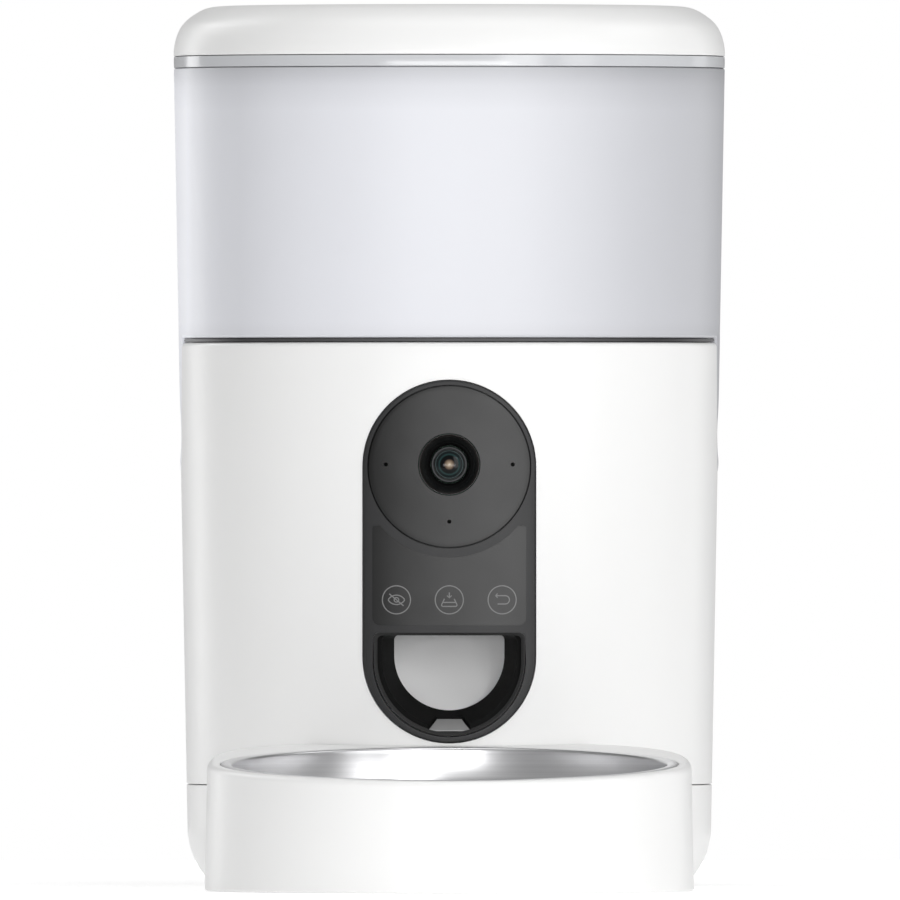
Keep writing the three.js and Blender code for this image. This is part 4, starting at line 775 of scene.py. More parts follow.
def spread_tree():
    """A node tree that sets a turned pad in each corner of a square."""
    tree, give, take = new_group("Pads on a square", "GeometryNodeTree", [
        *[(name, "Float") for name in ("Radius", "Height", "Corner", "Spread", "Middle")],
        ("Material", "Material"),
    ], [("Geometry", "Geometry")])
    node, maths = partial(add_node, tree), partial(add_maths, tree)

    # A pad is a cylinder of many rings, drawn in a little near its foot
    pad = node("GeometryNodeMeshCylinder", {
        "Vertices": SMALL_SIDES, "Side Segments": 8, "Fill Segments": 4, "Radius": give["Radius"],
        "Depth": give["Height"],
    })
    at = node("ShaderNodeSeparateXYZ", (node("GeometryNodeInputPosition"),)).outputs
    above = maths("ADD", at[2], maths("MULTIPLY", give["Height"], 0.5))
    inset = maths("MAXIMUM", 0.0, maths("SUBTRACT", 1.0, maths("DIVIDE", above, give["Corner"])))
    drawn = maths("MULTIPLY", maths("POWER", inset, 2.0), give["Corner"])
    shrink = maths("SUBTRACT", 1.0, maths("DIVIDE", drawn, give["Radius"]))
    flat = [maths("MULTIPLY", part, shrink) for part in at[:2]]
    spot = node("ShaderNodeCombineXYZ", (*flat, above))
    moved = node("GeometryNodeSetPosition", {"Geometry": pad, "Position": spot})

    # The square's four corners, set back to the body's middle
    side = maths("MULTIPLY", give["Spread"], 2.0)
    grid = node("GeometryNodeMeshGrid", {"Size X": side, "Size Y": side, "Vertices X": 2, "Vertices Y": 2})
    shift = node("ShaderNodeCombineXYZ", {1: give["Middle"]})
    placed = node("GeometryNodeSetPosition", {"Geometry": grid, "Offset": shift})
    copies = node("GeometryNodeInstanceOnPoints", {"Points": placed, "Instance": moved})
    end_shape(tree, copies, give["Material"], take[0])
    return tree


# Lid, hopper, body and base


def smooth_line(points, steps):
    """A smooth curve through points, with steps between each two of them."""
    ends = [points[0], *points, points[-1]]
    line = []
    for a, b, c, d in zip(ends, ends[1:], ends[2:], ends[3:]):
        for i in range(steps):
            t = i / steps
            line.append(tuple(
                0.5 * (
                    2 * q + (r - p) * t + (2 * p - 5 * q + 4 * r - s) * t**2
                    + (3 * q - p - 3 * r + s) * t**3
                ) for p, q, r, s in zip(a, b, c, d)
            ))
    return [*line, points[-1]]


def build_lid(look, sizes):
    """The domed lid and the plate inside it."""
    wall = millimetres(sizes.lid_wall)
    edge = smooth_line(LID_EDGE, 3)
    outer = [(half_at(LID_TOP - drop) - inset, LID_TOP - drop) for inset, drop in edge]
    low = half_at(LID_LOW)
    # Along the underside, round the foot, up the edge and in over the flat top
    under = arc(half_at(LID_TOP) - 17.6, LID_TOP - 14.6, 15.2, 11.7, 90, 0, 24)
    foot = [(low - wall, LID_LOW), (low - 0.4, LID_LOW), (low - 0.12, LID_LOW + 0.12), (low, LID_LOW + 0.4)]
    crown = [(outer[0][0] * (1 - i / 8), LID_TOP) for i in range(1, 9)]
    shell = piece("lid_top", soft_square([(0, LID_TOP - wall), *under, *foot, *outer[::-1], *crown]))
    finished(shell, look["white"], "lid", "white_shell", "lid_shell")

    plate_low = LID_LOW + LINER_RISE
    rim = half_at(LID_LOW) - wall - SEAM
    skirt = half_at(SKIRT_LOW) - HOPPER_WALL - SKIRT_GAP
    liner = piece("lid_inner_plate", soft_square([
        (0, plate_low), (skirt - 2.6, plate_low), (skirt - 2, plate_low - 0.6), (skirt - 2, SKIRT_LOW + 0.4),
        (skirt - 1.6, SKIRT_LOW), (skirt - 0.4, SKIRT_LOW), (skirt, SKIRT_LOW + 0.4),
        (skirt, plate_low), (rim, plate_low), (rim, plate_low + 2), (0, plate_low + 2),
    ]))
    finished(liner, look["inner"], "lid", "inner_grey", "lid_liner")


def build_sachet_cup(look, sizes):
    """The cup under the lid that holds a drying sachet, and its slotted cap."""
    radius, wall = SACHET_RADIUS, SACHET_WALL
    top = LID_LOW + LINER_RISE - SEAM
    low = top - SACHET_DEPTH
    cup = piece("sachet_cup_wall", turned([
        (radius, low), (radius, top - 0.4), (radius - 0.4, top), (0, top), (0, top - wall),
        (radius - 2, top - wall), (radius - wall, top - 2), (radius - wall, low),
    ], ring=True))
    finished(cup, look["grey"], "lid", "mid_grey", "sachet_cup")
    high = low - SEAM
    plug = radius - wall - 0.7
    cap = piece("sachet_cap_disc", turned([
        (0, high - 2.2), (radius - 0.6, high - 2.2), (radius, high - 1.6), (radius, high), (plug, high),
        (plug, high + 2.2), (plug - wall, high + 2.2), (plug - wall, high), (0, high),
    ]))
    slot = piece("slots", prism(rounded_box(10, 25, -1.6, 1.6, 1.59), high - 8, high + 4, axis="Z"))
    cut(cap, repeated(slot, sizes.scent_slots, turn=math.tau / sizes.scent_slots))
    finished(cap, look["grey"], "sachet_cap", "mid_grey", "sachet_cap")


def build_rings(look, sizes):
    """The rings that follow the soft square plan: the rim band, the gasket and the lid's seal."""
    tree = ring_tree()
    reach = millimetres(sizes.band_proud)
    band = square_ring(
        "rim_band", tree, look["band"], BAND_LOW - reach, BAND_TOP + reach, half_at(BAND_LOW),
        half_at(BAND_TOP), HOPPER_WALL, 0.35,
    )
    finished(band, look["band"], "hopper", "frosted_shell", "hopper_rim")
    half = half_at(SHELL_TOP) - 0.8
    gasket = square_ring("hopper_gasket", tree, look["gasket"], GASKET_LOW, GASKET_TOP, half, half, 5.6, 0.4)
    for side in ("left", "right"):
        cut(gasket, tab_room(side, TAB_ROOM, TAB_SEAT))
    finished(gasket, look["gasket"], "housing", "dark_rubber", "deck_gasket")
    # The seal lies round the skirt of the lid's liner
    wall, low = 1.4, SKIRT_LOW + 3.6
    half = half_at(SKIRT_LOW) - HOPPER_WALL - SKIRT_GAP + SEAM + wall
    seal = square_ring("lid_seal_ring", tree, look["silicone"], low, low + 3, half, half, wall, 0.5)
    finished(seal, look["silicone"], "lid", "pale_silicone", "lid_seal")


def build_hopper(look):
    """The frosted hopper with a tab on each side."""
    low, top = half_at(HOPPER_LOW), half_at(HOPPER_TOP)
    neck_foot = NECK_TOP - 11.8
    # Up the outside from the neck's foot, over the rim, and down the inside
    wall = piece("hopper_walls", soft_square([
        (NECK_OUTER - 0.3, neck_foot), (NECK_OUTER, neck_foot + 0.3), (NECK_OUTER, NECK_TOP),
        (low - 8.7, HOPPER_LOW), *arc(low - 1.2, HOPPER_LOW + 1.2, 1.2, 1.2, 270, 360, 6),
        (top - 0.3 * DRAFT, HOPPER_TOP - 0.3), (top - 0.3, HOPPER_TOP), (top - 2.1, HOPPER_TOP),
        (top - HOPPER_WALL, HOPPER_TOP - 0.3), (low - HOPPER_WALL, HOPPER_LOW + 6),
        *arc(low - 6.4, HOPPER_LOW + 6, 4, 3.6, 0, -90, 8)[1:], (low - 8.7, HOPPER_LOW + HOPPER_WALL),
        (NECK_INNER + 0.6, NECK_TOP + 2.2), (NECK_INNER, NECK_TOP), (NECK_INNER, neck_foot + 0.3),
        (NECK_INNER + 0.3, neck_foot),
    ], ring=True))

    foot = HOPPER_LOW - TAB_DROP + TAB_HALF_LOW
    outline, spine = dense(tab_outline()), upright(foot, HOPPER_LOW - 15)
    for side in ("left", "right"):
        join(wall, piece("tab", plate(outline, spine, -2.0, 0.35, tab_face, side, rows=24)))
    finished(wall, look["frosted"], "hopper", "frosted_shell", "hopper_bucket")


def build_chamber(look):
    """The cup under the hopper that the portion rotor turns in."""
    low = WELL_TOP + 1.8
    floor, top = low + 2.2, low + 24
    cup = piece("chamber_cup", turned([
        (0, low), (56.2, low), (57, low + 0.8), (57, top - 0.4), (56.6, top), (55, top),
        (54.6, top - 0.4), (54.6, floor + 0.4), (54.2, floor), (0, floor),
    ]))
    for hole in (sector(*PORTION_HOLE), circle(8.5)):
        cut(cup, prism(hole, low - 4, low + 8, axis="Z"))
    finished(cup, look["inner"], "hopper", "inner_grey", "portion_chamber")


def sector(inner, outer, half_angle, steps=24):
    """A ring sector seen from above, towards the front."""
    start, end = 270 - half_angle, 270 + half_angle
    return arc(0, 0, outer, outer, start, end, steps) + arc(0, 0, inner, inner, end, start, steps)


def build_body(look):
    """The white body, with seats for the hopper's tabs and room for the front and rear panels."""
    top, low = half_at(SHELL_TOP), half_at(SHELL_LOW)
    ledge, inner = SHELL_TOP - 2.5 - SEAM, top - SHELL_WALL
    shell = piece("body_shell", soft_square([
        (low - 0.2, SHELL_LOW), (low, SHELL_LOW + 0.2),
        *arc(top - 1.75, SHELL_TOP - 1.75, 1.75, 1.75, 0, 90, 8),
        (inner, SHELL_TOP), (inner, ledge), (top - 5.1, ledge), (top - 5.1, ledge - 1.25),
        (inner, ledge - 3.75), (low - SHELL_WALL, SHELL_LOW),
    ], ring=True))
    # What is joined to the wall starts at its middle, and stays between the shell's foot and its top
    inside, middle, wall = column(0, SHELL_LOW, SHELL_TOP), column(-SHELL_WALL / 2), 2.2
    # A pad behind each seat, so that the wall goes on behind it
    for side in ("left", "right"):
        far = half_at(SHELL_TOP) + THROUGH
        limits = (-far, -46) if side == "left" else (46, far)
        pad = piece("pad", prism(tab_outline(TAB_ROOM + wall), *limits, axis="X"))
        keep(pad, middle)
        cut(pad, column(-TAB_SEAT - wall))
        keep(pad, inside)
        join(shell, pad)
        cut(shell, tab_room(side, TAB_ROOM, TAB_SEAT))
    cut(shell, prism(stadium(PANEL_RADIUS + SEAM, OUTLET_HEIGHT, CAMERA_HEIGHT), *FRONT_SPAN))
    # A frame round the rear panel, with a step behind the panel's edge
    frame_ring = piece("frame_ring", prism(dense(rear_outline(REAR_FRAME)), *REAR_SPAN))
    keep(frame_ring, middle, inside)
    cut(frame_ring, column(-4.7))
    join(shell, frame_ring)
    cut(shell, cut(piece("rear_room", prism(rear_outline(SEAM), *REAR_SPAN)), column(-2.7)))
    cut(shell, prism(rear_outline(-REAR_FRAME), *REAR_SPAN))
    finished(shell, look["white"], "housing", "white_shell", "main_shell")


def build_well(look):
    """The well in the body that the hopper stands in."""
    rim = half_at(SHELL_TOP) - 8.5
    foot, wall = NECK_OUTER + 5.9, 2.2
    edge = half_at(SHELL_TOP) - SHELL_WALL - SEAM
    well = piece("well_walls", soft_square([
        (0, WELL_TOP - 2.3), (foot + wall, WELL_TOP - 2.3), (foot + wall, NECK_TOP + 3),
        (rim + wall, SHELL_TOP - 2.5), (edge, SHELL_TOP - 2.5), (edge, SHELL_TOP), (rim + 0.4, SHELL_TOP),
        (rim, SHELL_TOP - 0.5), (foot, NECK_TOP + 3), (foot, WELL_TOP + 1), (foot - 1, WELL_TOP),
        (0, WELL_TOP),
    ]))
    for side in ("left", "right"):
        cut(well, tab_room(side, TAB_ROOM + 2.5, TAB_SEAT + 2.5))
    for hole in (sector(*PORTION_HOLE), circle(4.5)):
        cut(well, prism(hole, WELL_TOP - 9, WELL_TOP + 9, axis="Z"))
    finished(well, look["inner"], "housing", "inner_grey", "hopper_well")


def rear_outline(grow=0.0):
    """The rear panel's outline, grown by an amount."""
    half, corner = REAR_HALF + grow, REAR_CORNER + max(grow, -3)
    return rounded_box(-half, half, REAR_LOW - grow, REAR_HIGH + grow, corner)


def base_curve(from_z, to_z, steps):
    """Part of the base's round lower edge, between two heights."""
    turns = [math.degrees(-math.asin((BASE_ROUND_Z - z) / BASE_ROUND)) for z in (from_z, to_z)]
    return arc(half_at(BASE_ROUND_Z) - BASE_ROUND, BASE_ROUND_Z, BASE_ROUND, BASE_ROUND, *turns, steps)


def build_base(look):
    """The base with its battery bay, screw towers and sockets for the feet and for the tray's clips."""
    top, half = PAN_TOP, half_at(PAN_TOP)
    inner = BASE_ROUND - SHELL_WALL
    inner_foot = math.degrees(-math.asin((BASE_ROUND_Z - PAN_LOW - BASE_FLOOR) / inner))
    pan = piece("base_shell", soft_square([
        (0, PAN_LOW), *base_curve(PAN_LOW, BASE_ROUND_Z, 24), (half - 0.01, top - 0.3), (half - 0.3, top),
        (half - SHELL_WALL, top),
        *arc(half_at(BASE_ROUND_Z) - BASE_ROUND, BASE_ROUND_Z, inner, inner, 0, inner_foot, 16),
        (0, PAN_LOW + BASE_FLOOR),
    ]))
    # Room for the battery cover and for the lips that it slides on, and the bay above it
    for wide, low in ((2.3, PAN_LOW - 6), (3.9, PAN_LOW + 0.8)):
        cut(pan, block((-BAY_X - wide, BAY_X + wide), (BAY_FRONT - 2.3, 110), (low, COVER_TOP + SEAM)))
    cut(pan, block((-BAY_X, BAY_X), (BAY_FRONT, BAY_REAR), (PAN_LOW, PAN_LOW + 9)))
    wide, rear = CLIP_HALF + CLIP_ROOM, -TRAY_SEAT + (CLIP_REACH + 2 * CLIP_ROOM)
    for x in CLIPS:
        cut(pan, block((x - wide, x + wide), (-100, rear), (CLIP_LOW - CLIP_ROOM, CLIP_HIGH + CLIP_ROOM)))
    for x, y in FEET:
        cut(pan, prism(circle(FOOT_ROOM, x, y), -3, PAN_LOW + 0.8, axis="Z"))
    for x, y in TOWERS:
        join(pan, piece("boss", prism(circle(TOWER_RADIUS, x, y), PAN_LOW + 2.5, top, axis="Z")))
        cut(pan, prism(circle(HEAD_ROOM, x, y), -3, top - 7.5, axis="Z"))
        cut(pan, prism(circle(SHANK_ROOM, x, y), 0, top + 4, axis="Z"))
    finished(pan, look["white"], "housing", "white_shell", "base_pan")
    dress(look["zinc"], "base_screw_1", "base_screw_2", "base_screw_3", "base_screw_4",
          "battery_contact_left", "battery_contact_right")
    dress(look["grey"], "battery_box")


def build_battery_cover(look, sizes):
    """The sliding cover of the battery bay, with grip slots and an arrow."""
    cover = piece("battery_door", soft_square(
        [(0, PAN_LOW), *base_curve(PAN_LOW, COVER_TOP, 8), (0, COVER_TOP)],
    ))
    long = (BAY_FRONT - 2, half_at(COVER_TOP))
    skin = piece("skin", block((-BAY_X - 2, BAY_X + 2), long, (-3, 12)))
    keep(cover, join(skin, block((-BAY_X - 3.6, BAY_X + 3.6), long, (PAN_LOW + 1.1, 13))))
    y, floor = BAY_REAR + 6, PAN_LOW + 0.5
    slot = piece("slots", prism(rounded_box(-15, 15, y - 0.6, y + 0.6, 0.59), -3, floor, axis="Z"))
    cut(cover, repeated(slot, sizes.grip_slots, (0, 3, 0)))
    cut(cover, prism([(0, BAY_REAR + 36), (-7, BAY_REAR + 29), (7, BAY_REAR + 29)], -3, floor, axis="Z"))
    finished(cover, look["white"], "battery_cover", "white_shell", "battery_cover")


def build_feet(look, sizes):
    """The four rubber feet."""
    feet = by_nodes("foot_pads", spread_tree(), {
        "Radius": sizes.foot_radius, "Height": sizes.foot_height, "Corner": 0.8 * MM,
        "Spread": FOOT_SPREAD * MM, "Middle": AXIS_Y, "Material": look["rubber"],
    })
    finished(feet, look["rubber"], "housing", "dark_rubber", "foot_front_left", "foot_front_right",
             "foot_rear_left", "foot_rear_right")


# Front panel


def bend(start, corner, end, steps=8):
    """Points after the first on a smooth curve from one point to another, drawn towards a corner."""
    return [tuple(
        (1 - t) ** 2 * a + 2 * t * (1 - t) * b + t * t * c for a, b, c in zip(start, corner, end)
    ) for t in (i / steps for i in range(1, steps + 1))]


def touch_outline(grow=0.0):
    """A box with round lower corners under a hollow that runs round the camera disc."""
    half = TOUCH_HALF + grow
    low = TOUCH_LOW - grow
    shoulder = CAMERA_HEIGHT - 21.2 + grow
    hollow = DISC_RADIUS + 3.4 - grow
    corner = 2.8
    start = half - corner
    angle = math.degrees(math.atan2(-math.sqrt(hollow**2 - start**2), start))
    top = CAMERA_HEIGHT + hollow * math.sin(math.radians(angle))
    foot = arc(-start, low + corner, corner, corner, 180, 270, 8)
    foot += arc(start, low + corner, corner, corner, 270, 360, 8)
    right = [(half, shoulder), *bend((half, shoulder), (half, top), (start, top))]
    around = arc(0, CAMERA_HEIGHT, hollow, hollow, angle, -180 - angle, 48)[1:-1]
    left = [(-start, top), *bend((-start, top), (-half, top), (-half, shoulder))]
    return foot + right + around + left


def cut_camera_holes(made, sizes):
    """Cuts the hole for the lens hood and the pinholes round it."""
    cut(made, prism(circle(HOOD_HOLE, 0, LENS_HEIGHT), *FRONT_SPAN))
    for x, z in MIC_PLACES:
        cut(made, prism(circle(millimetres(sizes.pinhole), x, z, 24), *FRONT_SPAN))


def build_front_plate(look, sizes):
    """The satin black border that the camera face, the touch face and the outlet are set in."""
    outline = dense(stadium(PANEL_RADIUS, OUTLET_HEIGHT, CAMERA_HEIGHT))
    spine = upright(OUTLET_HEIGHT, CAMERA_HEIGHT)
    panel = piece("front_plate", plate(outline, spine, PANEL_PROUD - 4, 0.45, PANEL_PROUD, rows=16))
    cut(panel, pocket(circle(DISC_RADIUS + SEAM, 0, CAMERA_HEIGHT), PANEL_PROUD - 2.5))
    cut(panel, pocket(touch_outline(HAIR), PANEL_PROUD - 1.7))
    cut_camera_holes(panel, sizes)
    cut(panel, prism(sleeve_outline(SEAM), *FRONT_SPAN))
    finished(panel, look["black"], "housing", "black_shell", "front_panel")


def build_camera(look, sizes):
    """The camera's disc with its pinholes, and the hood, barrel and glass of the lens."""
    outline, centre = circle(DISC_RADIUS, 0, CAMERA_HEIGHT), upright(CAMERA_HEIGHT, CAMERA_HEIGHT)
    disc = piece("camera_face", plate(outline, centre, PANEL_PROUD - 2.2, 0.35, PANEL_PROUD, rows=16))
    cut_camera_holes(disc, sizes)
    finished(disc, look["panel"], "housing", "dark_panel", "camera_disc")

    # The hood's wall slopes in to the barrel, which holds the glass
    face = -half_at(LENS_HEIGHT) - PANEL_PROUD
    hood = piece("camera_hood", along_y(turned([
        (6.7, face + 8), (10.6, face + 8), (10.6, face + 0.12), (10.52, face), (10.46, face),
        (7.0, face + 4.2), (6.7, face + 4.6),
    ][::-1], ring=True), LENS_HEIGHT))
    finished(hood, look["gloss"], "housing", "black_shell", "lens_hood")
    front = face + 3.6
    barrel = piece("camera_barrel", along_y(turned([
        (0, front + 13), (6.3, front + 13), (6.3, front + 0.2), (6.1, front), (5.6, front),
        (5.4, front + 0.2), (5.4, front + 1.9), (0, front + 1.9),
    ][::-1]), LENS_HEIGHT))
    finished(barrel, look["barrel"], "housing", "dark_panel", "lens_barrel")
    radius = millimetres(sizes.dome_radius)
    dome = arc(0, front, radius, -millimetres(sizes.dome_rise), 90, 0, 16)
    glass = piece("camera_glass", along_y(turned(
        [(0, dome[0][1]), *dome[1:], (radius, front + 1.6), (0, front + 1.6)],
    ), LENS_HEIGHT))
    finished(glass, look["glass"], "housing", "lens_glass", "lens_glass")


def build_touch_face(look):
    """The flush face with the three touch keys."""
    touch = piece("touch_face", prism(touch_outline(), *FRONT_SPAN))
    keep(touch, column(PANEL_PROUD, sides=FINE_SIDES))
    cut(touch, column(PANEL_PROUD - 1.4))
    finished(touch, look["touch"], "housing", "dark_panel", "touch_panel")


def ribbon(points, width, shut=False):
    """A thin line of a width through points, as an outline on each side of it."""
    count = len(points)
    sides = []
    for sign in (1, -1):
        row = []
        for i, (u, v) in enumerate(points):
            before = points[i - 1] if i or shut else points[i]
            after = points[(i + 1) % count] if i < count - 1 or shut else points[i]
            edge = (Vector(after) - Vector(before)).normalized()
            row.append((u + edge.y * sign * width / 2, v - edge.x * sign * width / 2))
        sides.append(row)
    return sides


def print_line(points, width, proud, shut=False):
    """A printed line on the front panel, a hair proud of it."""
    outer, inner = ribbon(points, width, shut)
    at = on_wall("front")
    rings = [[at(u, v, offset) for u, v in row] for row, offset in (
        (outer, proud - HAIR), (outer, proud), (inner, proud), (inner, proud - HAIR),
    )]
    count = len(points)
    spots = [p for ring in rings for p in ring]
    faces = []
    last = count if shut else count - 1
    for k in range(4):
        for i in range(last):
            j = (i + 1) % count
            faces.append([k * count + i, k * count + j, (k + 1) % 4 * count + j, (k + 1) % 4 * count + i])
    if not shut:
        faces += [[k * count for k in range(4)], [k * count + count - 1 for k in range(3, -1, -1)]]
    return spots, faces


def together(shapes):
    """Several shapes as one list of points and faces."""
    points, faces = [], []
    for spots, sides in shapes:
        faces += [[i + len(points) for i in face] for face in sides]
        points += spots
    return points, faces


def build_icons(look, sizes):
    """Generic key marks: watching on and off, feed now, and play again."""
    proud = PANEL_PROUD + HAIR
    width, ring = millimetres(sizes.print_width), millimetres(sizes.key_radius)
    z = TOUCH_LOW + 8.95
    marks = []

    def line(points, x, shut=False):
        marks.append(print_line([(x + u, z + v) for u, v in points], width, proud, shut))

    for x in (-ICON_SIDE, 0, ICON_SIDE):
        line(circle(ring, steps=64), x, shut=True)
    # An eye with a slash: watching on and off
    over, under = arc(0, -1.75, 3.4, 3.4, 148, 32, 14), arc(0, 1.75, 3.4, 3.4, -32, -148, 14)
    line(over, -ICON_SIDE)
    line(under, -ICON_SIDE)
    line(circle(0.8, steps=20), -ICON_SIDE, shut=True)
    line([(-2.5, 2.1), (2.5, -2.1)], -ICON_SIDE)
    # A bowl with an arrow into it: feed now
    bowl = [*arc(-2.2, -1.8, 0.5, 0.5, 160, 270, 6), *arc(2.2, -1.8, 0.5, 0.5, 270, 380, 6)]
    line([(-1.7, 0.35), *bowl, (1.7, 0.35)], 0)
    line([(-2.1, -0.9), (2.1, -0.9)], 0)
    line([(0, 2.6), (0, 0.75)], 0)
    line([(-0.8, 1.5), (0, 0.7), (0.8, 1.5)], 0)
    # An arrow that turns back: play again
    turn = arc(1.1, 0, 1.45, 1.45, -80, 80, 12)
    line([(-1.6, -1.45), (1.1, -1.45), *turn, (1.1, 1.45), (-2.3, 1.45)], ICON_SIDE)
    line([(-1.6, 2.15), (-2.35, 1.45), (-1.6, 0.75)], ICON_SIDE)
    icons = piece("key_icons", together(marks))
    finished(icons, look["icons"], "housing", "mid_grey")


def sleeve_outline(gap=0.0):
    """The outlet's ring in the front plate. Its gap shows below, and closes to a hair above."""
    outline = hood_outline(RING_RADIUS, RING_HEIGHT, OUTLET_TOP, 1.75)
    wide = grown(outline, gap)
    close = grown(outline, min(gap, HAIR))
    return [a if v < RING_OPEN else b for a, b, (_, v) in zip(wide, close, outline)]


def build_outlet(look):
    """The black funnel of the food outlet, and a grey sheet at its foot, painted light on the facet there."""
    front = -half_at(OUTLET_TOP) - PANEL_PROUD
    back = front + 18.2
    at = on_wall("front")
    mouth = hood_outline(MOUTH_RADIUS, MOUTH_HEIGHT, OUTLET_TOP - 0.9, 1.75)
    window = hood_outline(WINDOW_RADIUS, WINDOW_HEIGHT, OUTLET_TOP - 0.8, 1.75)

    def funnel(grow):
        ends = ((mouth, front), (window, back))
        return loft([[(u, y, v) for u, v in grown(outline, grow)] for outline, y in ends])

    # A flush ring in the front plate, with the funnel behind it
    ring = piece("outlet_ring", prism(sleeve_outline(), *FRONT_SPAN))
    keep(ring, column(PANEL_PROUD, sides=FINE_SIDES))
    cut(ring, column(PANEL_PROUD - 5))
    shell = piece("funnel", funnel(3))
    keep(shell, column(PANEL_PROUD, sides=FINE_SIDES), prism(sleeve_outline(), *FRONT_SPAN))
    join(ring, shell)
    cut(ring, prism(mouth, front - 20, front + 0.02))
    cut(ring, funnel(0))
    cut(ring, prism(window, back - 0.3, back + 9))
    # The mouth's edge is cut back at a slope
    bevel = ((0.9, 3), (0.9, -0.05), (-0.05, -1), (-0.05, -3))
    cut(ring, loft([[at(u, v, PANEL_PROUD + rise) for u, v in grown(mouth, wide)] for wide, rise in bevel]))
    mouth_low = OUTLET_HEIGHT - MOUTH_RADIUS
    # A wedge leaves a facet that slopes down to the front
    lip_back, lip_front = mouth_low + 3.1, mouth_low - 1.1
    near, far = front + 1.5, front + 11.5
    wedge = loft([
        [(-8, near, lip_front), (8, near, lip_front), (8, near, MOUTH_HEIGHT), (-8, near, MOUTH_HEIGHT)],
        [(-4.8, far, lip_back), (4.8, far, lip_back), (4.8, far, MOUTH_HEIGHT), (-4.8, far, MOUTH_HEIGHT)],
    ])
    cut(ring, wedge)
    finished(ring, look["sleeve"], "housing", "black_shell", "outlet_sleeve")

    # A grey sheet lies on the facet: painted light, standing for the light that falls on the black facet
    def along(share, half, lift):
        y, z = near + (far - near) * share, lip_front + (lip_back - lip_front) * share + lift
        return [(-half, y, z), (half, y, z)]

    rows = [(0.04, 7.5), (0.5, 5.9), (0.97, 4.4)]
    under = [along(share, half, 0.02) for share, half in rows]
    over = [along(share, half - 0.15, 0.28) for share, half in rows]
    rings = [[a[0], a[1], b[1], b[0]] for a, b in zip(under, over)]
    insert = piece("pouring_lip_painted_light", loft(rings), smooth=20)
    finished(insert, look["lip"], "housing", "mid_grey")


# Tray and bowl


def tray_form(shrink, low, high, edge=0.0):
    """The tray's outer form, drawn back to the body behind, its top sloping down to the front."""
    at = lambda z: TRAY_RADIUS + TRAY_LEAN * (RIM_HEIGHT - z) - shrink
    top = arc(at(high) - edge, high - edge, edge, edge, 0, 90, 10) if edge else [(at(high), high)]
    foot = [(at(low) - 0.6, low), (at(low), low + 0.6)] if edge else [(at(low), low)]
    points, faces = turned([(0, low), *foot, *top, (0, high)], ROUND_SIDES)
    depth = (TRAY_BACK - shrink) / (TRAY_RADIUS - shrink)
    moved = []
    for x, y, z in points:
        r = math.hypot(x, y)
        back = (abs(x / r) ** 3 + (y / r / depth) ** 3) ** (-1 / 3) if r and y > 0 else 1
        lift = 1 + math.tan(RIM_TILT) * y * back / RIM_HEIGHT
        moved.append((x * back, y * back + TRAY_Y, z * lift))
    return moved, faces


def on_rim(shape):
    """Stands a turned shape square to the sloping rim."""
    points, faces = shape
    tilt = Matrix.Translation((0, TRAY_Y, RIM_HEIGHT)) @ Matrix.Rotation(RIM_TILT, 4, "X")
    return [tuple(tilt @ Vector(p)) for p in points], faces


def bowl_room(grow, above):
    """The room in the tray for the bowl, grown by an amount, up to a height above the rim."""
    gap = 1.4
    deep = BOWL_DEPTH + gap
    curve = arc(BOWL_FLAT, 0, BOWL_WALL - BOWL_FLAT + gap + grow, deep + grow, 270, 350, 24)
    return on_rim(turned(
        [(0, -deep - grow), *curve, (BOWL_WALL + gap + grow, above), (0, above)], ROUND_SIDES,
    ))


def build_tray(look):
    """The tray in front of the body, which clips into the base."""
    tray = piece("tray_body", tray_form(0, 0, RIM_HEIGHT, 2.3))
    cut(tray, column(TRAY_GAP, -12))
    # Hollow from below, with a cup for the bowl left standing in it
    hollow = piece("hollow", tray_form(SHELL_WALL, -THROUGH, RIM_HEIGHT - SHELL_WALL))
    cut(hollow, column(TRAY_GAP + SHELL_WALL, -14), bowl_room(SHELL_WALL, 18))
    cut(tray, hollow, bowl_room(0, 18))
    # A step that the bowl's rim lies in
    edge = BOWL_RADIUS + SEAM
    cut(tray, on_rim(turned([
        (0, -1.1), (edge, -1.1), (edge, -0.6), (edge + 0.15, -0.25), (edge + 0.5, -0.02),
        (edge + 1, 0.06), (edge + 1, 18), (0, 18),
    ], ROUND_SIDES)))
    for x in CLIPS:
        long = (-TRAY_SEAT - 5.2, -TRAY_SEAT + CLIP_REACH)
        join(tray, block((x - CLIP_HALF, x + CLIP_HALF), long, (CLIP_LOW, CLIP_HIGH)))
    finished(tray, look["white"], "tray", "white_shell", "bowl_tray")


def build_bowl(look):
    """The spun steel bowl with its rolled rim."""
    wall, thick = BOWL_WALL, 0.8
    outside = arc(BOWL_FLAT, 0, wall - BOWL_FLAT, BOWL_DEPTH, 270, 356, 40)
    inside = arc(BOWL_FLAT, 0, wall - BOWL_FLAT - thick, BOWL_DEPTH - thick, 356, 270, 40)
    bowl = piece("food_bowl", on_rim(turned([
        (0, -BOWL_DEPTH), *outside, (wall, -thick), (BOWL_RADIUS - 0.3, -thick),
        (BOWL_RADIUS, -0.55), (BOWL_RADIUS, -0.25), (BOWL_RADIUS - 0.3, 0), (wall + 0.5, 0),
        *arc(wall + 0.3, -1.1, 1.1, 1.1, 90, 180, 6), *inside, (0, thick - BOWL_DEPTH),
    ], ROUND_SIDES)), smooth=40)
    finished(bowl, look["steel"], "bowl", "polished_steel", "steel_bowl")


# Rear panel


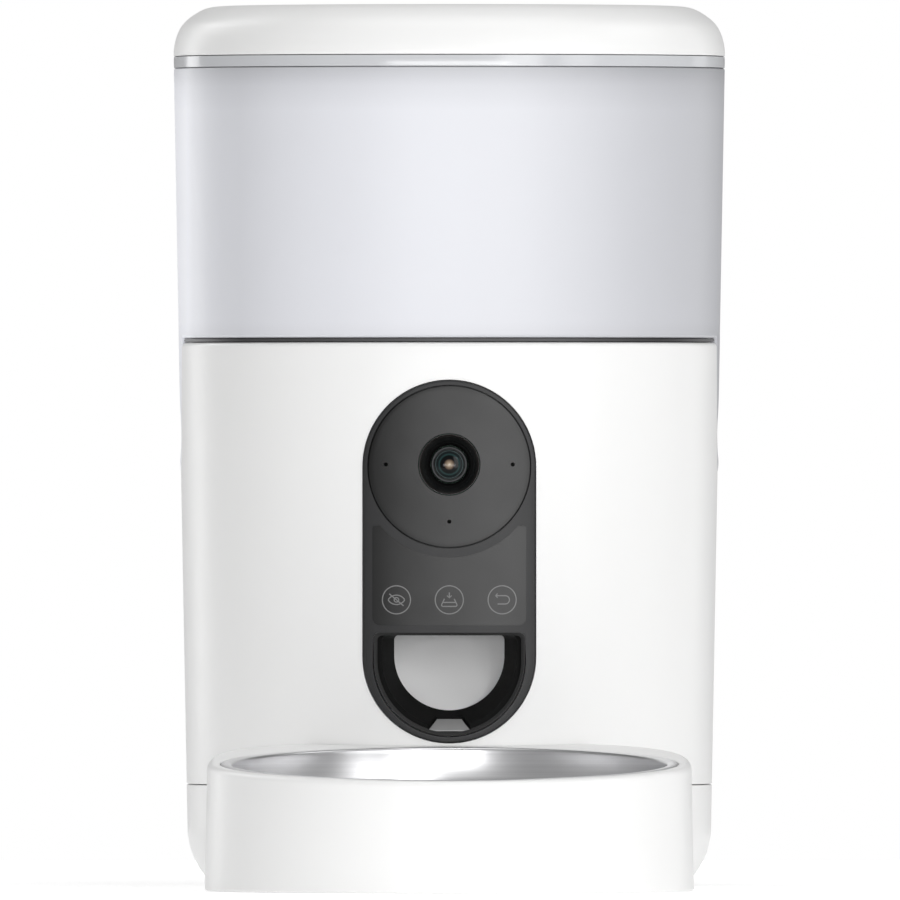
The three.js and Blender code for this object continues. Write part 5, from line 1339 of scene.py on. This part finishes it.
def build_rear(look, sizes):
    """The rear panel with its sound slots, socket recess and two screws."""
    spine = lambda u, v: (min(max(u, 10 - REAR_HALF), REAR_HALF - 10), (REAR_LOW + REAR_HIGH) / 2)
    panel = piece("rear_plate", plate(dense(rear_outline()), spine, -2.4, 0.35, 0, "rear"))
    # The recess of the power inlet: a cup behind the panel, hollowed, with a hole for the socket in its floor
    x, z, wall = INLET_X, INLET_HEIGHT, 1.6
    floor = wall_reach(z, 0, 23) - 6
    wide, high = (x - 8 - wall, x + 8 + wall), (z - 5 - wall, z + 5 + wall)
    cup = piece("cup", block(wide, (floor - wall, 110), high))
    join(panel, keep(cup, column(-1.2)))
    for half_x, half_z, corner, deep in ((8, 5, 1.2, 0), (4.9, 2, 1.9, 8)):
        hole = rounded_box(x - half_x, x + half_x, z - half_z, z + half_z, corner)
        cut(panel, prism(hole, floor - deep, 120))
    z = SPEAKER_HEIGHT - 2.5 * (sizes.sound_slots - 1)
    slot = piece("slots", prism(rounded_box(-12, 12, z - 1.1, z + 1.1, 1.09), *REAR_SPAN))
    cut(panel, repeated(slot, sizes.sound_slots, (0, 0, 5)))
    for z in REAR_SCREWS:
        cut(panel, prism(circle(1.7, 0, z, 32), *REAR_SPAN))
        cut(panel, prism(circle(2.9, 0, z, 32), wall_reach(z, 0, 2.6) - 1.7, 130))
    cut(panel, prism(circle(3.4, RESET_X, INLET_HEIGHT, 48), *REAR_SPAN))
    finished(panel, look["white"], "housing", "white_shell", "rear_panel")

    # The lower screw, and a copy of it in the upper hole
    z = REAR_SCREWS[0]
    tops = [wall_reach(height, 0, 2.6) - 0.2 for height in REAR_SCREWS]
    top = tops[0]
    screw = piece("rear_panel_screws", along_y(turned([
        (0, top - 7), (1.4, top - 7), (1.4, top - 1.2), (2.3, top - 1.2), (2.6, top - 0.9), (2.6, top - 0.5),
        (2.2, top - 0.1), (1.5, top), (0, top),
    ], SMALL_SIDES), z))
    cut(screw, block((-0.35, 0.35), (top - 0.9, top + 2), (z - 1.6, z + 1.6)))
    cut(screw, block((-1.6, 1.6), (top - 0.9, top + 2), (z - 0.35, z + 0.35)))
    repeated(screw, 2, (0, tops[1] - top, REAR_SCREWS[1] - z), look=look["zinc"])
    finished(screw, look["zinc"], "housing", "zinc_plate", "rear_screw_1", "rear_screw_2")
    dress(look["grey"], "power_socket")
    dress(look["black"], "speaker")


def build_reset_button(look):
    """The small reset button in the rear panel."""
    face = wall_reach(INLET_HEIGHT, 0.6, RESET_X)
    inside = wall_reach(INLET_HEIGHT, -2.4, RESET_X + 3) - SEAM
    points, faces = along_y(turned([
        (0, face - 6), (3, face - 6), (3, inside - 0.9), (3.9, inside - 0.9), (3.9, inside), (3, inside),
        (3, face - 0.35), (2.65, face), (1.8, face - 0.1), (0, face - 0.25),
    ]), INLET_HEIGHT)
    button = piece("reset_key", ([(x + RESET_X, y, z) for x, y, z in points], faces))
    finished(button, look["grey"], "reset_button", "mid_grey", "reset_button")


def dress_inside(look):
    """Finishes for the chute, the drive, the rotor and the boards."""
    dress(look["chute"], "food_chute")
    dress(look["grey"], "gear_case", "gear_lid", "shaft_bush", "motor_pinion", "output_gear",
          "output_coupler", "portion_rotor", "portion_baffle", "stirrer")
    dress(look["zinc"], "output_shaft", "drive_motor")
    dress(look["board"], "main_board", "camera_board", "touch_board")


# Materials


def new_look(name):
    """A new material, its node tree and its shader."""
    look = bpy.data.materials.new(name)
    look.use_nodes = True
    return look, look.node_tree, look.node_tree.nodes["Principled BSDF"]


def multiplied(tree, first, second):
    """Two colours multiplied."""
    both = {"Factor": 1.0, "A": first, "B": second}
    return add_node(tree, "ShaderNodeMix", both, data_type="RGBA", blend_type="MULTIPLY").outputs["Result"]


def ranged(tree, value, start, end=(0.0, 1.0)):
    """A value taken from one range to another."""
    return add_node(tree, "ShaderNodeMapRange", {
        "Value": value, "From Min": start[0], "From Max": start[1], "To Min": end[0], "To Max": end[1],
    })


def grain_group():
    """Moulded plastic: a soft mottle for tone and sheen, and a fine grain for height."""
    tree, give, take = new_group("Moulded grain", "ShaderNodeTree", [
        ("Mottle", "Float", 0.01), ("Sheen", "Float", 0.4), ("Spread", "Float", 0.04),
    ], [("Share", "Float"), ("Roughness", "Float"), ("Height", "Float")])
    maths = partial(add_maths, tree)
    where = add_node(tree, "ShaderNodeTexCoord").outputs["Object"]

    def noise(scale, detail):
        made = add_node(tree, "ShaderNodeTexNoise", {"Vector": where, "Scale": scale, "Detail": detail})
        return maths("SUBTRACT", maths("MULTIPLY", made, 2.0), 1.0)

    broad, patches, fine = noise(14.0, 2.0), noise(70.0, 3.0), noise(2600.0, 1.0)
    tone = maths("ADD", maths("MULTIPLY", broad, 0.6), maths("MULTIPLY", patches, 0.4))
    feed(take["Share"], maths("ADD", 1.0, maths("MULTIPLY", tone, give["Mottle"])))
    feed(take["Roughness"], maths("ADD", give["Sheen"], maths("MULTIPLY", patches, give["Spread"])))
    feed(take["Height"], fine)
    return tree


def moulded(name, group, colour, mottle, sheen, spread, bump, fixed):
    """A moulded plastic: one colour with a faint mottle, uneven sheen and a fine grain."""
    _, tree, shader = new_look(name)
    grain = add_node(
        tree, "ShaderNodeGroup", {"Mottle": mottle, "Sheen": sheen, "Spread": spread}, node_tree=group,
    ).outputs
    feed(shader.inputs["Base Color"], multiplied(tree, (*colour, 1), grain["Share"]))
    feed(shader.inputs["Roughness"], grain["Roughness"])
    feed(shader.inputs["Normal"], add_node(tree, "ShaderNodeBump", {
        "Strength": bump, "Distance": GRAIN_DEPTH, "Height": grain["Height"],
    }))
    for key, value in fixed.items():
        feed(shader.inputs[key], value)


def radial_group():
    """How far a point lies from a line along Y, as a share of a radius."""
    tree, give, take = new_group("Distance from a line", "ShaderNodeTree", [
        ("Across", "Float", 0.0), ("Up", "Float", 0.1), ("Radius", "Float", 0.005),
    ], [("Share", "Float")])
    where = add_node(tree, "ShaderNodeTexCoord").outputs["Object"]
    at = add_node(tree, "ShaderNodeSeparateXYZ", (where,)).outputs
    across = add_maths(tree, "SUBTRACT", at[0], give["Across"])
    up = add_maths(tree, "SUBTRACT", at[2], give["Up"])
    flat = add_node(tree, "ShaderNodeCombineXYZ", (across, up))
    length = add_node(tree, "ShaderNodeVectorMath", (flat,), operation="LENGTH").outputs["Value"]
    feed(take["Share"], add_maths(tree, "DIVIDE", length, give["Radius"]))
    return tree


def colour_ramp(tree, share, stops):
    """A colour ramp that a share runs along. A stop is a place and a colour."""
    ramp = add_node(tree, "ShaderNodeValToRGB", (share,))
    bar = ramp.color_ramp.elements
    while len(bar) < len(stops):
        bar.new(0.5)
    for element, (at, colour) in zip(bar, stops):
        element.position, element.color = at, (*colour, 1)
    return ramp


def lens_look(radial, radius):
    """Coated glass: painted reflections of the inner lenses, as faint rings of colour round a dark pupil,
    with a painted warm glint in the middle.
    """
    _, tree, shader = new_look("Lens glass")
    line = {"Across": 0.0, "Up": LENS_HEIGHT * MM, "Radius": radius}
    share = add_node(tree, "ShaderNodeGroup", line, node_tree=radial)
    # Painted reflections: coloured rings and a warm glint, by the distance from the lens's axis
    feed(shader.inputs["Base Color"], colour_ramp(tree, share, LENS_PAINTED_REFLECTIONS))
    shader.inputs["Roughness"].default_value = 0.08
    shader.inputs["Specular IOR Level"].default_value = 0.12


def steel_look(tones):
    """Spun steel: fine rings round the bowl's axis, in tone and in sheen."""
    _, tree, shader = new_look("Spun steel")
    node = partial(add_node, tree)
    where = node("ShaderNodeTexCoord").outputs["Object"]
    moved = node("ShaderNodeMapping", {0: where, "Location": (0, -(TRAY_Y * MM + AXIS_Y), 0)})
    at = node("ShaderNodeSeparateXYZ", (moved,)).outputs
    flat = node("ShaderNodeCombineXYZ", at[:2])
    length = node("ShaderNodeVectorMath", (flat,), operation="LENGTH").outputs["Value"]
    ring = node("ShaderNodeCombineXYZ", (length, at[2]))
    lines = node("ShaderNodeTexNoise", {"Vector": ring, "Scale": 900, "Detail": 3})
    smears = node("ShaderNodeTexNoise", {"Vector": where, "Scale": 25})
    both = add_maths(tree, "MULTIPLY_ADD", lines, 0.16, smears)
    feed(shader.inputs["Roughness"], ranged(tree, both, (0.3, 0.9), STEEL_SHEEN))
    feed(shader.inputs["Base Color"], colour_ramp(tree, lines, ((0.3, tones[0]), (0.7, tones[1]))))
    shader.inputs["Metallic"].default_value = 1.0


def paint_light_along(look, axis, low, high, stops):
    """Paints light and shade into a moulded material's colour along one axis of the piece, between two places
    in millimetres.
    """
    tree = look.node_tree
    base = tree.nodes["Principled BSDF"].inputs["Base Color"]
    where = add_node(tree, "ShaderNodeTexCoord").outputs["Object"]
    at = add_node(tree, "ShaderNodeSeparateXYZ", (where,)).outputs["XYZ".index(axis)]
    ramp = colour_ramp(
        tree, ranged(tree, at, (low * MM, high * MM)), [(place, (tone,) * 3) for place, tone in stops],
    )
    feed(base, multiplied(tree, base.links[0].from_socket, ramp))


# Each moulded look: its name, its colour unless the settings hold it, mottle, sheen, the sheen's spread, and
# the strength of its grain
MOULDED = {
    "white": ("White shell", None, 0.012, 0.36, 0.05, 0.03),
    "frosted": ("Frosted hopper", None, 0.02, 0.42, 0.05, 0.05),
    "band": ("Glossy rim band", None, 0.02, 0.16, 0.04, 0.0),
    "black": ("Satin black", None, 0.15, 0.4, 0.06, 0.1),
    "gloss": ("Gloss black", (0.004, 0.004, 0.004), 0.1, 0.2, 0.03, 0.0),
    "panel": ("Dark camera face", None, 0.1, 0.34, 0.05, 0.05),
    "touch": ("Touch face", None, 0.08, 0.34, 0.05, 0.03),
    "barrel": ("Lens barrel", (0.012, 0.014, 0.015), 0.1, 0.4, 0.05, 0.05),
    "icons": ("Key print", None, 0.05, 0.5, 0.05, 0.0),
    "sleeve": ("Black funnel", None, 0.1, 0.6, 0.05, 0.05),
    # The lip's grey is painted light on the outlet's facet
    "lip": ("Grey pouring lip, painted light", None, 0.05, 0.35, 0.05, 0.05),
    "gasket": ("Grey gasket rubber", None, 0.1, 0.7, 0.08, 0.3),
    "rubber": ("Dark rubber", None, 0.2, 0.8, 0.08, 0.4),
    "silicone": ("Pale silicone", (0.6, 0.62, 0.63), 0.04, 0.6, 0.05, 0.2),
    "grey": ("Mid grey", (0.32, 0.325, 0.33), 0.04, 0.48, 0.05, 0.2),
    "inner": ("Inner light grey", (0.58, 0.585, 0.59), 0.02, 0.45, 0.05, 0.15),
    "chute": ("White chute", (0.95, 0.95, 0.95), 0.02, 0.45, 0.05, 0.1),
    "board": ("Circuit board", (0.02, 0.12, 0.06), 0.3, 0.4, 0.08, 0.3),
    "zinc": ("Zinc plate", (0.55, 0.56, 0.57), 0.06, 0.36, 0.08, 0.1),
}
NAMES = {key: values[0] for key, values in MOULDED.items()} | {"glass": "Lens glass", "steel": "Spun steel"}

# What is the same all over a look, straight on its shader
FIXED = {
    "zinc": {"Metallic": 1.0},
    "sleeve": {"Specular IOR Level": 0.08},
    "barrel": {"Specular IOR Level": 0.3},
    **{key: {"Specular IOR Level": 0.3} for key in ("panel", "touch", "black")},
}

# Stops of the colour ramps: from the lens's middle to its edge, painted reflections in the glass, and along
# X, Y or Z of a piece, painted light and shade
LENS_PAINTED_REFLECTIONS = (
    (0.0, (0.5, 0.42, 0.32)), (0.1, (0.32, 0.25, 0.18)), (0.3, (0.1, 0.07, 0.05)),
    (0.38, (0.004, 0.004, 0.005)), (0.6, (0.003, 0.004, 0.004)), (0.7, (0.02, 0.045, 0.045)),
    (0.78, (0.008, 0.012, 0.013)), (0.9, (0.01, 0.014, 0.015)), (0.94, (0.09, 0.12, 0.12)),
    (0.98, (0.01, 0.012, 0.012)),
)
# Painted shade: the hopper's tone up its height, darker at its foot and under the lid
HOPPER_PAINTED_SHADE = ((0.0, 0.93), (0.06, 1.0), (0.84, 1.0), (0.93, 0.9), (1.0, 0.7))
# Painted light and shade: the hopper's tone across it, lighter at the left edge, darker towards the right
HOPPER_SIDE_PAINTED_SHADING = (
    (0.0, 1.1), (0.018, 1.08), (0.032, 0.92), (0.055, 0.84), (0.082, 0.79), (0.118, 0.757),
    (0.193, 0.78), (0.437, 0.785), (0.52, 0.77), (0.68, 0.7), (0.847, 0.61), (1.0, 0.55),
)
# Painted reflection: the dark faces' tone across them, darker towards the left
PANEL_PAINTED_REFLECTION = ((0.0, 0.04), (0.2, 0.12), (0.35, 0.26), (0.5, 0.5), (0.65, 0.6), (1.0, 0.78))
# Painted highlight: the funnel's tone back from its mouth, much paler at the mouth
FUNNEL_PAINTED_HIGHLIGHT = ((0.0, 7.0), (0.62, 7.0), (0.72, 1.0), (1.0, 1.0))
# Painted light and shade: the gasket's tone across it, paler at its ends, darker just inside them
SEAM_PAINTED_SHADING = (
    (0.0, 4.0), (0.027, 3.8), (0.055, 2.6), (0.083, 1.3), (0.118, 0.6), (0.28, 0.75), (0.5, 1.25), (0.7, 1.2),
    (0.847, 0.55), (0.884, 0.45), (0.92, 0.6), (0.957, 1.3), (1.0, 2.2),
)
SIDE_RAMP = 96

# Roughness of the steel's rings, and the depth of the plastics' grain in metres
STEEL_SHEEN = (0.26, 0.38)
GRAIN_DEPTH = 0.0001


def make_looks(colours, sizes):
    """Makes every finish of the feeder."""
    grain = grain_group()
    for key, (name, colour, *values) in MOULDED.items():
        moulded(name, grain, colour or getattr(colours, key), *values, FIXED.get(key, {}))
    lens_look(radial_group(), sizes.dome_radius)
    steel_look((colours.steel_low, colours.steel_high))
    made = looks()
    # Painted shade: the hopper darker towards its foot and towards its top under the lid
    paint_light_along(made["frosted"], "Z", HOPPER_LOW, HOPPER_TOP, HOPPER_PAINTED_SHADE)
    # Painted light and shade: the hopper lighter on its left side and darker on its right
    paint_light_along(made["frosted"], "X", -SIDE_RAMP, SIDE_RAMP, HOPPER_SIDE_PAINTED_SHADING)
    # Painted light and shade along the gasket: paler at its ends, darker in places between
    paint_light_along(made["gasket"], "X", -SIDE_RAMP, SIDE_RAMP, SEAM_PAINTED_SHADING)
    # Painted highlight: the funnel paler near its mouth, so that the mouth's edge looks lit
    mouth = AXIS_Y / MM - half_at(OUTLET_HEIGHT) - PANEL_PROUD
    paint_light_along(made["sleeve"], "Y", mouth - 1, mouth + 5, FUNNEL_PAINTED_HIGHLIGHT)
    # Painted reflection: the camera face and the touch face darker on the left, lighter on the right
    for key in ("panel", "touch"):
        paint_light_along(made[key], "X", -PANEL_RADIUS, PANEL_RADIUS, PANEL_PAINTED_REFLECTION)


def looks():
    """The finishes by their short names. A missing one stops the step that asks."""
    return {key: bpy.data.materials[name] for key, name in NAMES.items()}


# Stage


def add_area(name, spot, aim, size, watts):
    """A soft rectangular light that looks at a point."""
    data = bpy.data.lights.new(name, "AREA")
    data.shape, data.size, data.size_y = "RECTANGLE", *size
    data.energy = watts
    lamp = bpy.data.objects.new(name, data)
    bpy.context.scene.collection.objects.link(lamp)
    lamp.location = spot
    lamp.rotation_euler = (Vector(aim) - Vector(spot)).to_track_quat("-Z", "Y").to_euler()


def add_camera(scene, stage):
    """The photograph's camera: level, and far in front of the feeder."""
    data = bpy.data.cameras.new("Photo camera")
    data.sensor_width, data.lens = SENSOR_WIDTH, SENSOR_WIDTH * stage.distance / stage.frame_width
    data.clip_start, data.clip_end = 0.1, 100
    camera = bpy.data.objects.new("Photo camera", data)
    scene.collection.objects.link(camera)
    camera.location = (CAMERA_ASIDE, CAMERA_PLANE - stage.distance, CAMERA_UP)
    camera.rotation_euler = (math.pi / 2, 0, 0)
    scene.camera = camera


def add_room(scene, stage):
    """A room that looks white and gives an even light."""
    world = bpy.data.worlds.new("White room")
    world.use_nodes = True
    scene.world = world
    tree = world.node_tree
    seen = add_node(tree, "ShaderNodeLightPath").outputs["Is Camera Ray"]
    blend = add_node(tree, "ShaderNodeMix", {"A": stage.room, "B": 1.0, "Factor": seen})
    back = tree.nodes["Background"]
    feed(back.inputs["Color"], (1, 1, 1, 1))
    feed(back.inputs["Strength"], blend.outputs["Result"])


def lay_floor(glow):
    """A pale floor. It is clear from underneath, so that the feeder's underside can be looked at."""
    look, tree, shader = new_look("Floor")
    corners = [(x, y, FLOOR_HEIGHT) for x, y in FLOOR_CORNERS]
    floor = piece("floor", (corners, [[0, 1, 2, 3]]), face_out=False)
    # The glow grows outwards, so that the floor's edge is lost in the white room
    where = add_node(tree, "ShaderNodeTexCoord").outputs["Object"]
    away = add_node(tree, "ShaderNodeVectorMath", (where,), operation="LENGTH").outputs["Value"]
    feed(shader.inputs["Emission Color"], ranged(tree, away, GLOW_RANGE, (glow, GLOW_FAR)))
    for key, value in (("Base Color", (0.95, 0.95, 0.95, 1)), ("Roughness", 0.9), ("Emission Strength", 1.0)):
        feed(shader.inputs[key], value)
    behind = add_node(tree, "ShaderNodeNewGeometry").outputs["Backfacing"]
    clear = add_node(tree, "ShaderNodeBsdfTransparent")
    blend = add_node(tree, "ShaderNodeMixShader", (behind, shader, clear))
    feed(tree.nodes["Material Output"].inputs["Surface"], blend)
    floor.data.materials.append(look)


def build_stage(stage):
    """The photograph's camera, a white room with soft lights, and a pale floor."""
    scene = bpy.context.scene
    add_camera(scene, stage)
    add_room(scene, stage)
    for name, (spot, aim, size, watts) in LIGHTS.items():
        add_area(name, spot, aim, size, watts * stage.lamps)
    lay_floor(stage.floor_glow)
    scene.view_settings.view_transform = "Standard"
    scene.cycles.use_denoising = True
    scene.cycles.max_bounces = 8


# Operators and panel


class FEEDER_OT_finishes(Operator):
    """Make every finish of the feeder"""

    bl_idname = "feeder.finishes"
    bl_label = "Finishes"

    def execute(self, context):
        make_looks(context.scene.feeder_colours, context.scene.feeder_sizes)
        return {"FINISHED"}


class FEEDER_OT_lid(Operator):
    """Build the domed lid and the plate inside it"""

    bl_idname = "feeder.lid"
    bl_label = "Lid"

    def execute(self, context):
        build_lid(looks(), context.scene.feeder_sizes)
        return {"FINISHED"}


class FEEDER_OT_sachet_cup(Operator):
    """Build the drying sachet's cup and its slotted cap"""

    bl_idname = "feeder.sachet_cup"
    bl_label = "Sachet cup"

    def execute(self, context):
        build_sachet_cup(looks(), context.scene.feeder_sizes)
        return {"FINISHED"}


class FEEDER_OT_rings(Operator):
    """Build the rings that follow the soft square plan"""

    bl_idname = "feeder.rings"
    bl_label = "Band, gasket and seal"

    def execute(self, context):
        build_rings(looks(), context.scene.feeder_sizes)
        return {"FINISHED"}


class FEEDER_OT_hopper(Operator):
    """Build the frosted hopper with its side tabs"""

    bl_idname = "feeder.hopper"
    bl_label = "Hopper"

    def execute(self, context):
        build_hopper(looks())
        return {"FINISHED"}


class FEEDER_OT_chamber(Operator):
    """Build the cup that the portion rotor turns in"""

    bl_idname = "feeder.chamber"
    bl_label = "Portion chamber"

    def execute(self, context):
        build_chamber(looks())
        return {"FINISHED"}


class FEEDER_OT_body(Operator):
    """Build the white body"""

    bl_idname = "feeder.body"
    bl_label = "Body"

    def execute(self, context):
        build_body(looks())
        return {"FINISHED"}


class FEEDER_OT_well(Operator):
    """Build the well that the hopper stands in"""

    bl_idname = "feeder.well"
    bl_label = "Hopper well"

    def execute(self, context):
        build_well(looks())
        return {"FINISHED"}


class FEEDER_OT_base(Operator):
    """Build the base, and finish its screws and battery box"""

    bl_idname = "feeder.base"
    bl_label = "Base"

    def execute(self, context):
        build_base(looks())
        return {"FINISHED"}


class FEEDER_OT_battery_cover(Operator):
    """Build the sliding battery cover"""

    bl_idname = "feeder.battery_cover"
    bl_label = "Battery cover"

    def execute(self, context):
        build_battery_cover(looks(), context.scene.feeder_sizes)
        return {"FINISHED"}


class FEEDER_OT_feet(Operator):
    """Build the four rubber feet"""

    bl_idname = "feeder.feet"
    bl_label = "Feet"

    def execute(self, context):
        build_feet(looks(), context.scene.feeder_sizes)
        return {"FINISHED"}


class FEEDER_OT_front_plate(Operator):
    """Build the black border of the front panel"""

    bl_idname = "feeder.front_plate"
    bl_label = "Front plate"

    def execute(self, context):
        build_front_plate(looks(), context.scene.feeder_sizes)
        return {"FINISHED"}


class FEEDER_OT_camera(Operator):
    """Build the camera's disc, hood, barrel and glass"""

    bl_idname = "feeder.camera"
    bl_label = "Camera"

    def execute(self, context):
        build_camera(looks(), context.scene.feeder_sizes)
        return {"FINISHED"}


class FEEDER_OT_touch_face(Operator):
    """Build the face of the touch keys"""

    bl_idname = "feeder.touch_face"
    bl_label = "Touch face"

    def execute(self, context):
        build_touch_face(looks())
        return {"FINISHED"}


class FEEDER_OT_icons(Operator):
    """Build the generic marks on the touch keys"""

    bl_idname = "feeder.icons"
    bl_label = "Key print"

    def execute(self, context):
        build_icons(looks(), context.scene.feeder_sizes)
        return {"FINISHED"}


class FEEDER_OT_outlet(Operator):
    """Build the black funnel and its pouring lip"""

    bl_idname = "feeder.outlet"
    bl_label = "Food outlet"

    def execute(self, context):
        build_outlet(looks())
        return {"FINISHED"}


class FEEDER_OT_tray(Operator):
    """Build the tray that holds the bowl"""

    bl_idname = "feeder.tray"
    bl_label = "Tray"

    def execute(self, context):
        build_tray(looks())
        return {"FINISHED"}


class FEEDER_OT_bowl(Operator):
    """Build the spun steel bowl"""

    bl_idname = "feeder.bowl"
    bl_label = "Bowl"

    def execute(self, context):
        build_bowl(looks())
        return {"FINISHED"}


class FEEDER_OT_rear_panel(Operator):
    """Build the rear panel and its screws, and finish its socket"""

    bl_idname = "feeder.rear_panel"
    bl_label = "Rear panel"

    def execute(self, context):
        build_rear(looks(), context.scene.feeder_sizes)
        return {"FINISHED"}


class FEEDER_OT_reset_button(Operator):
    """Build the reset button"""

    bl_idname = "feeder.reset_button"
    bl_label = "Reset button"

    def execute(self, context):
        build_reset_button(looks())
        return {"FINISHED"}


class FEEDER_OT_inside(Operator):
    """Finish the chute, the drive, the rotor and the boards"""

    bl_idname = "feeder.inside"
    bl_label = "Inside"

    def execute(self, context):
        dress_inside(looks())
        return {"FINISHED"}


class FEEDER_OT_stage(Operator):
    """Set up the camera, the lights and the floor"""

    bl_idname = "feeder.stage"
    bl_label = "Stage"

    def execute(self, context):
        build_stage(context.scene.feeder_stage)
        return {"FINISHED"}


OPERATORS = (
    FEEDER_OT_finishes, FEEDER_OT_lid, FEEDER_OT_sachet_cup, FEEDER_OT_rings, FEEDER_OT_hopper,
    FEEDER_OT_chamber, FEEDER_OT_body, FEEDER_OT_well, FEEDER_OT_base, FEEDER_OT_battery_cover,
    FEEDER_OT_feet, FEEDER_OT_front_plate, FEEDER_OT_camera, FEEDER_OT_touch_face, FEEDER_OT_icons,
    FEEDER_OT_outlet, FEEDER_OT_tray, FEEDER_OT_bowl, FEEDER_OT_rear_panel, FEEDER_OT_reset_button,
    FEEDER_OT_inside, FEEDER_OT_stage,
)


class FEEDER_PT_pieces(Panel):
    """Lists the feeder's steps in order, and its settings"""

    bl_idname = "FEEDER_PT_pieces"
    bl_label = "Pet feeder"
    bl_space_type = "VIEW_3D"
    bl_region_type = "UI"
    bl_category = "Feeder"

    def draw(self, context):
        for step in OPERATORS:
            self.layout.operator(step.bl_idname)
        for name in ("feeder_sizes", "feeder_colours", "feeder_stage"):
            held = getattr(context.scene, name)
            box = self.layout.box()
            for key in held.__annotations__:
                box.prop(held, key)


CLASSES = (FeederSizes, FeederColours, FeederStage, *OPERATORS, FEEDER_PT_pieces)


def register():
    """Registers the settings, the operators and the panel."""
    for each in CLASSES:
        bpy.utils.register_class(each)
    bpy.types.Scene.feeder_sizes = PointerProperty(type=FeederSizes)
    bpy.types.Scene.feeder_colours = PointerProperty(type=FeederColours)
    bpy.types.Scene.feeder_stage = PointerProperty(type=FeederStage)


def unregister():
    """Takes back what register() adds."""
    del bpy.types.Scene.feeder_stage
    del bpy.types.Scene.feeder_colours
    del bpy.types.Scene.feeder_sizes
    for each in reversed(CLASSES):
        bpy.utils.unregister_class(each)


def main():
    """Calls the operators in order."""
    register()
    bpy.ops.feeder.finishes()
    bpy.ops.feeder.lid()
    bpy.ops.feeder.sachet_cup()
    bpy.ops.feeder.rings()
    bpy.ops.feeder.hopper()
    bpy.ops.feeder.chamber()
    bpy.ops.feeder.body()
    bpy.ops.feeder.well()
    bpy.ops.feeder.base()
    bpy.ops.feeder.battery_cover()
    bpy.ops.feeder.feet()
    bpy.ops.feeder.front_plate()
    bpy.ops.feeder.camera()
    bpy.ops.feeder.touch_face()
    bpy.ops.feeder.icons()
    bpy.ops.feeder.outlet()
    bpy.ops.feeder.tray()
    bpy.ops.feeder.bowl()
    bpy.ops.feeder.rear_panel()
    bpy.ops.feeder.reset_button()
    bpy.ops.feeder.inside()
    bpy.ops.feeder.stage()


if __name__ == "__main__":
    main()
